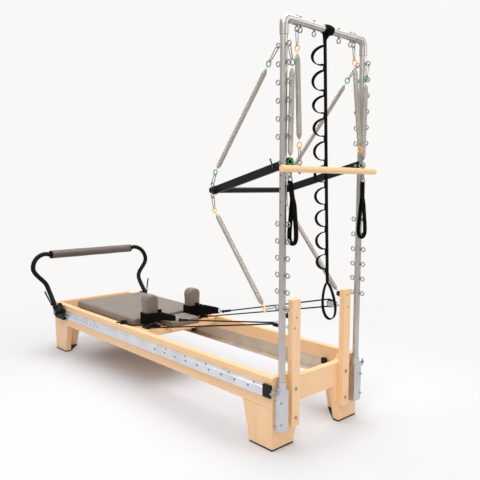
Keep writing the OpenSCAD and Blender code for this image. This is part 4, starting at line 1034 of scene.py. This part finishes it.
def fill_cushion(piece, cap, voxel, walls, pressure=4.0, steps=20):
    """Remeshes, blows up with cloth pressure, caps each move, and keeps all points inside the walls."""
    rest = piece.modifiers.new("remesh", "REMESH")
    rest.mode = "VOXEL"
    rest.voxel_size = voxel
    bpy.context.view_layer.objects.active = piece
    mesh = evaluated(piece)
    piece.modifiers.clear()
    piece.data = mesh
    before = points_of(mesh)
    cloth = piece.modifiers.new("cloth", "CLOTH")
    cloth.settings.use_pressure = True
    cloth.settings.uniform_pressure_force = pressure
    cloth.settings.effector_weights.gravity = 0
    cloth.settings.quality = 4
    cloth.point_cache.frame_start, cloth.point_cache.frame_end = 1, steps
    for step in range(1, steps + 1):
        scene.frame_set(step)
    move = points_of(evaluated(piece)) - before
    piece.modifiers.clear()
    scene.frame_set(1)
    size = np.linalg.norm(move, axis=1, keepdims=True)
    after = np.clip(before + move * np.minimum(1, cap / np.maximum(size, 1e-9)), *walls)
    mesh.vertices.foreach_set("co", after.ravel())
    mesh.update()
    mesh.polygons.foreach_set("use_smooth", np.ones(len(mesh.polygons), bool))
    smooth = piece.modifiers.new("smooth", "SMOOTH")
    smooth.iterations = 3
    smooth.factor = 0.5
    mesh = evaluated(piece)
    piece.modifiers.clear()
    piece.data = mesh
    print(piece.name, "filled, largest move", round(float(size.max()) * 1000, 1), "mm")


# %% Welts
def add_welt(name, pad, path, body, radius=0.0013):
    """A closed cord along the seam. Each point goes to the cushion's nearest point, then all are evened."""
    tree = BVHTree.FromObject(pad, bpy.context.evaluated_depsgraph_get())
    near = np.array([tree.find_nearest(p)[0] for p in path.tolist()])
    near = (np.roll(near, 1, 0) + 2 * near + np.roll(near, -1, 0)) / 4
    keep = np.linalg.norm(np.roll(near, -1, 0) - near, axis=1) > 2e-4
    cord = make_piece(name, tube(near[keep], radius, (0.37, 0.21, 0.9), 8, True), body)
    return dress(cord, taupe_vinyl)


# %% Mattress, rests and headrest
mat_x0, mat_x1 = -0.950, -0.166
pads = [
    ("mattress_pad", ((mat_x0 + mat_x1) / 2, 0, deck_top + 0.0003), mat_x1 - mat_x0 - 0.002, 0.536, 0.050,
     0.010, 0.011, 0.003, 0.002, 32.0, "mattress", 0.003, "carriage", (0.392, 0.269)),
    ("headrest_pad", (-0.137 + 0.0885, 0, deck_top + 0.0003), 0.173, 0.224, 0.044, 0.010, 0.014, 0.004,
     0.003, 12.0, "headrest", 0.004, "head_rest", (0.0875, 0.113)),
]
for side_name, s in near_far:
    pads.append((f"{side_name}_shoulder_pad", (rest_x, s * rest_y, deck_top + 0.0053), 0.066, 0.088, 0.196,
                 0.008, 0.009, 0.002, 0.0, 14.0, "shoulder_rests", 0.003, "carriage", (0.033, 0.044)))
seam_points = 240
for name, middle, length, width, height, edge, brow, crown, draw, power, stands, cap, body, reach in pads:
    arched = "shoulder" in name
    bend = 0.038 if arched else 0.0
    pad = cushion(name, middle, length, width, height, edge, brow, crown, draw, power, bend)
    low = np.array([middle[0] - reach[0], middle[1] - reach[1], middle[2]])
    high = np.array([middle[0] + reach[0], middle[1] + reach[1], middle[2] + height + 0.003])
    fill_cushion(pad, cap, 0.006 if length > 0.3 else 0.0045, (low, high))
    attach(pad, body)
    dress(pad, taupe_vinyl, stands)
    if arched:
        t = np.linspace(0, 2 * np.pi, seam_points, endpoint=False)
        up = np.abs(np.cos(t)) ** 0.25 * np.sign(np.cos(t))
        rim_y = 0.044 * (np.abs(np.sin(t)) ** 0.35 * np.sign(np.sin(t)))
        rim_z = (height / 2 + height / 2 * up) * (1 - arch(rim_y, width / 2, bend) / height)
        seams = [np.column_stack([np.full(seam_points, x), rim_y, rim_z]) for x in (-0.0285, 0.0285)]
    else:
        rim = cushion_rings(length, width, [[brow * 0.3, 0]], draw, power, seam_points)[0][:, :2]
        seams = [np.column_stack([rim, np.full(seam_points, height - crown - brow * 0.3)])]
    for k, seam in enumerate(seams):
        add_welt(f"{name}_welt_{k + 1}", pad, seam + np.asarray(middle), body)
print(len(pads), "cushions with their welts")

# %% [markdown]
# ## Foot bar grip
#
# The grip is a foam tube in the same vinyl. It is a turned form that tapers a little into black end
# collars.

# %% Foot bar grip
grip_x, grip_z, grip_half = foot_x + 0.007, 0.713, 0.3175
v = np.linspace(-1, 1, 61)
r = 0.0300 - 0.0010 * np.abs(v) ** 14 - 0.0006 * np.cos(v * 9)
body_line = np.stack([r, v * grip_half], axis=1)
foam_end = np.array([[0.0172, 0.3178], [0.0272, 0.3180]])
profile = np.vstack([foam_end * [1, -1], body_line, foam_end[::-1]])
grip = turned(profile, (grip_x, 0, grip_z), (0, 1, 0), 48)
grip = outward(make_piece("foot_bar_grip", grip, "foot_bar_body"))
dress(grip, shaded_grip_vinyl, "foot_bar_pad")
print("grip", 2 * grip_half, "m")

# %% [markdown]
# ## Lever sleeves and painted hole shade
#
# Each release lever wears a rubber sleeve that thickens toward its round end. Each of the rail's index
# holes gets a black cup a little below the face as painted shade, so that the hole shows as a dark dot.
# Both are turned or swept forms on the CAD's own axes. The hole under each foot bar bracket stays free for
# its plunger.

# %% Lever sleeves and painted hole shade
holes = [end_x - 0.153 - 0.1016 * k for k in range(9)] + [foot_x + 0.347 + 0.0508 * k for k in range(8)]
holes.append(foot_x + 0.291)
hole_shade_cup = np.array([[0.0053, -0.004], [0.0053, -0.0008], [0.0040, -0.0016], [0.0004, -0.0018]])
for name, s in near_far:
    root = np.array([foot_x + 0.138, s * 0.390, 0.366])
    tip = root + np.array([-0.027, s * 0.034, 0.093])
    start = root + np.array([-0.0015, s * 0.005, 0.006])
    t = np.linspace(0.10, 1.0, 24)[:, None]
    u = np.linspace(0, 1, 24)
    thick = (0.0047 + 0.0010 * u) * np.sqrt(np.clip(1 - ((u - 0.5) / 0.5) ** 12, 0.02, 1))
    sleeve = tube(start + (tip + 0.06 * (tip - start) - start) * t, thick, (0, 1, 0), 16)
    dress(make_piece(f"{name}_lever_sleeve", sleeve, f"{name}_release"), soft_rubber)
    # Painted shade: a black cup a little below the face of each rail hole darkens it to a dot.
    sockets = joined([turned(hole_shade_cup, (x, s * 0.328, 0.291), (0, s, 0), 24) for x in holes])
    dress(outward(make_piece(f"{name}_rail_hole_shade", sockets, "frame")), black_moulding)
print("lever sleeves and", len(holes), "sockets on each side")

# %% [markdown]
# ## Carriage springs
#
# Five springs lie under the carriage between the foot end's spring bar and a batten. They are wound
# more openly than the tower's. On the machine they stretch as the carriage rolls away.

# %% Carriage springs
for k in range(-2, 3):
    p = np.array([foot_x + 0.1433, 0.080 * k, 0.26205])
    q = np.array([foot_x + 0.5427, 0.080 * k, 0.26205])
    coil = wound_spring(p, q, outer=0.028, wire=0.0032, seat=0.0, per_turn=12, cone=0.03)
    spring = make_piece(f"carriage_spring_{k + 3}", coil, None)
    dress(spring, spring_wire_steel, "carriage_springs")
    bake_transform(spring)
print("five carriage springs")

# %% Cords
for name, _ in near_far:
    rope, route = ropes[name]
    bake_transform(rope)
    length = float(lengths(route)[-1])
    print(name, "rope", round(length, 3), "m")
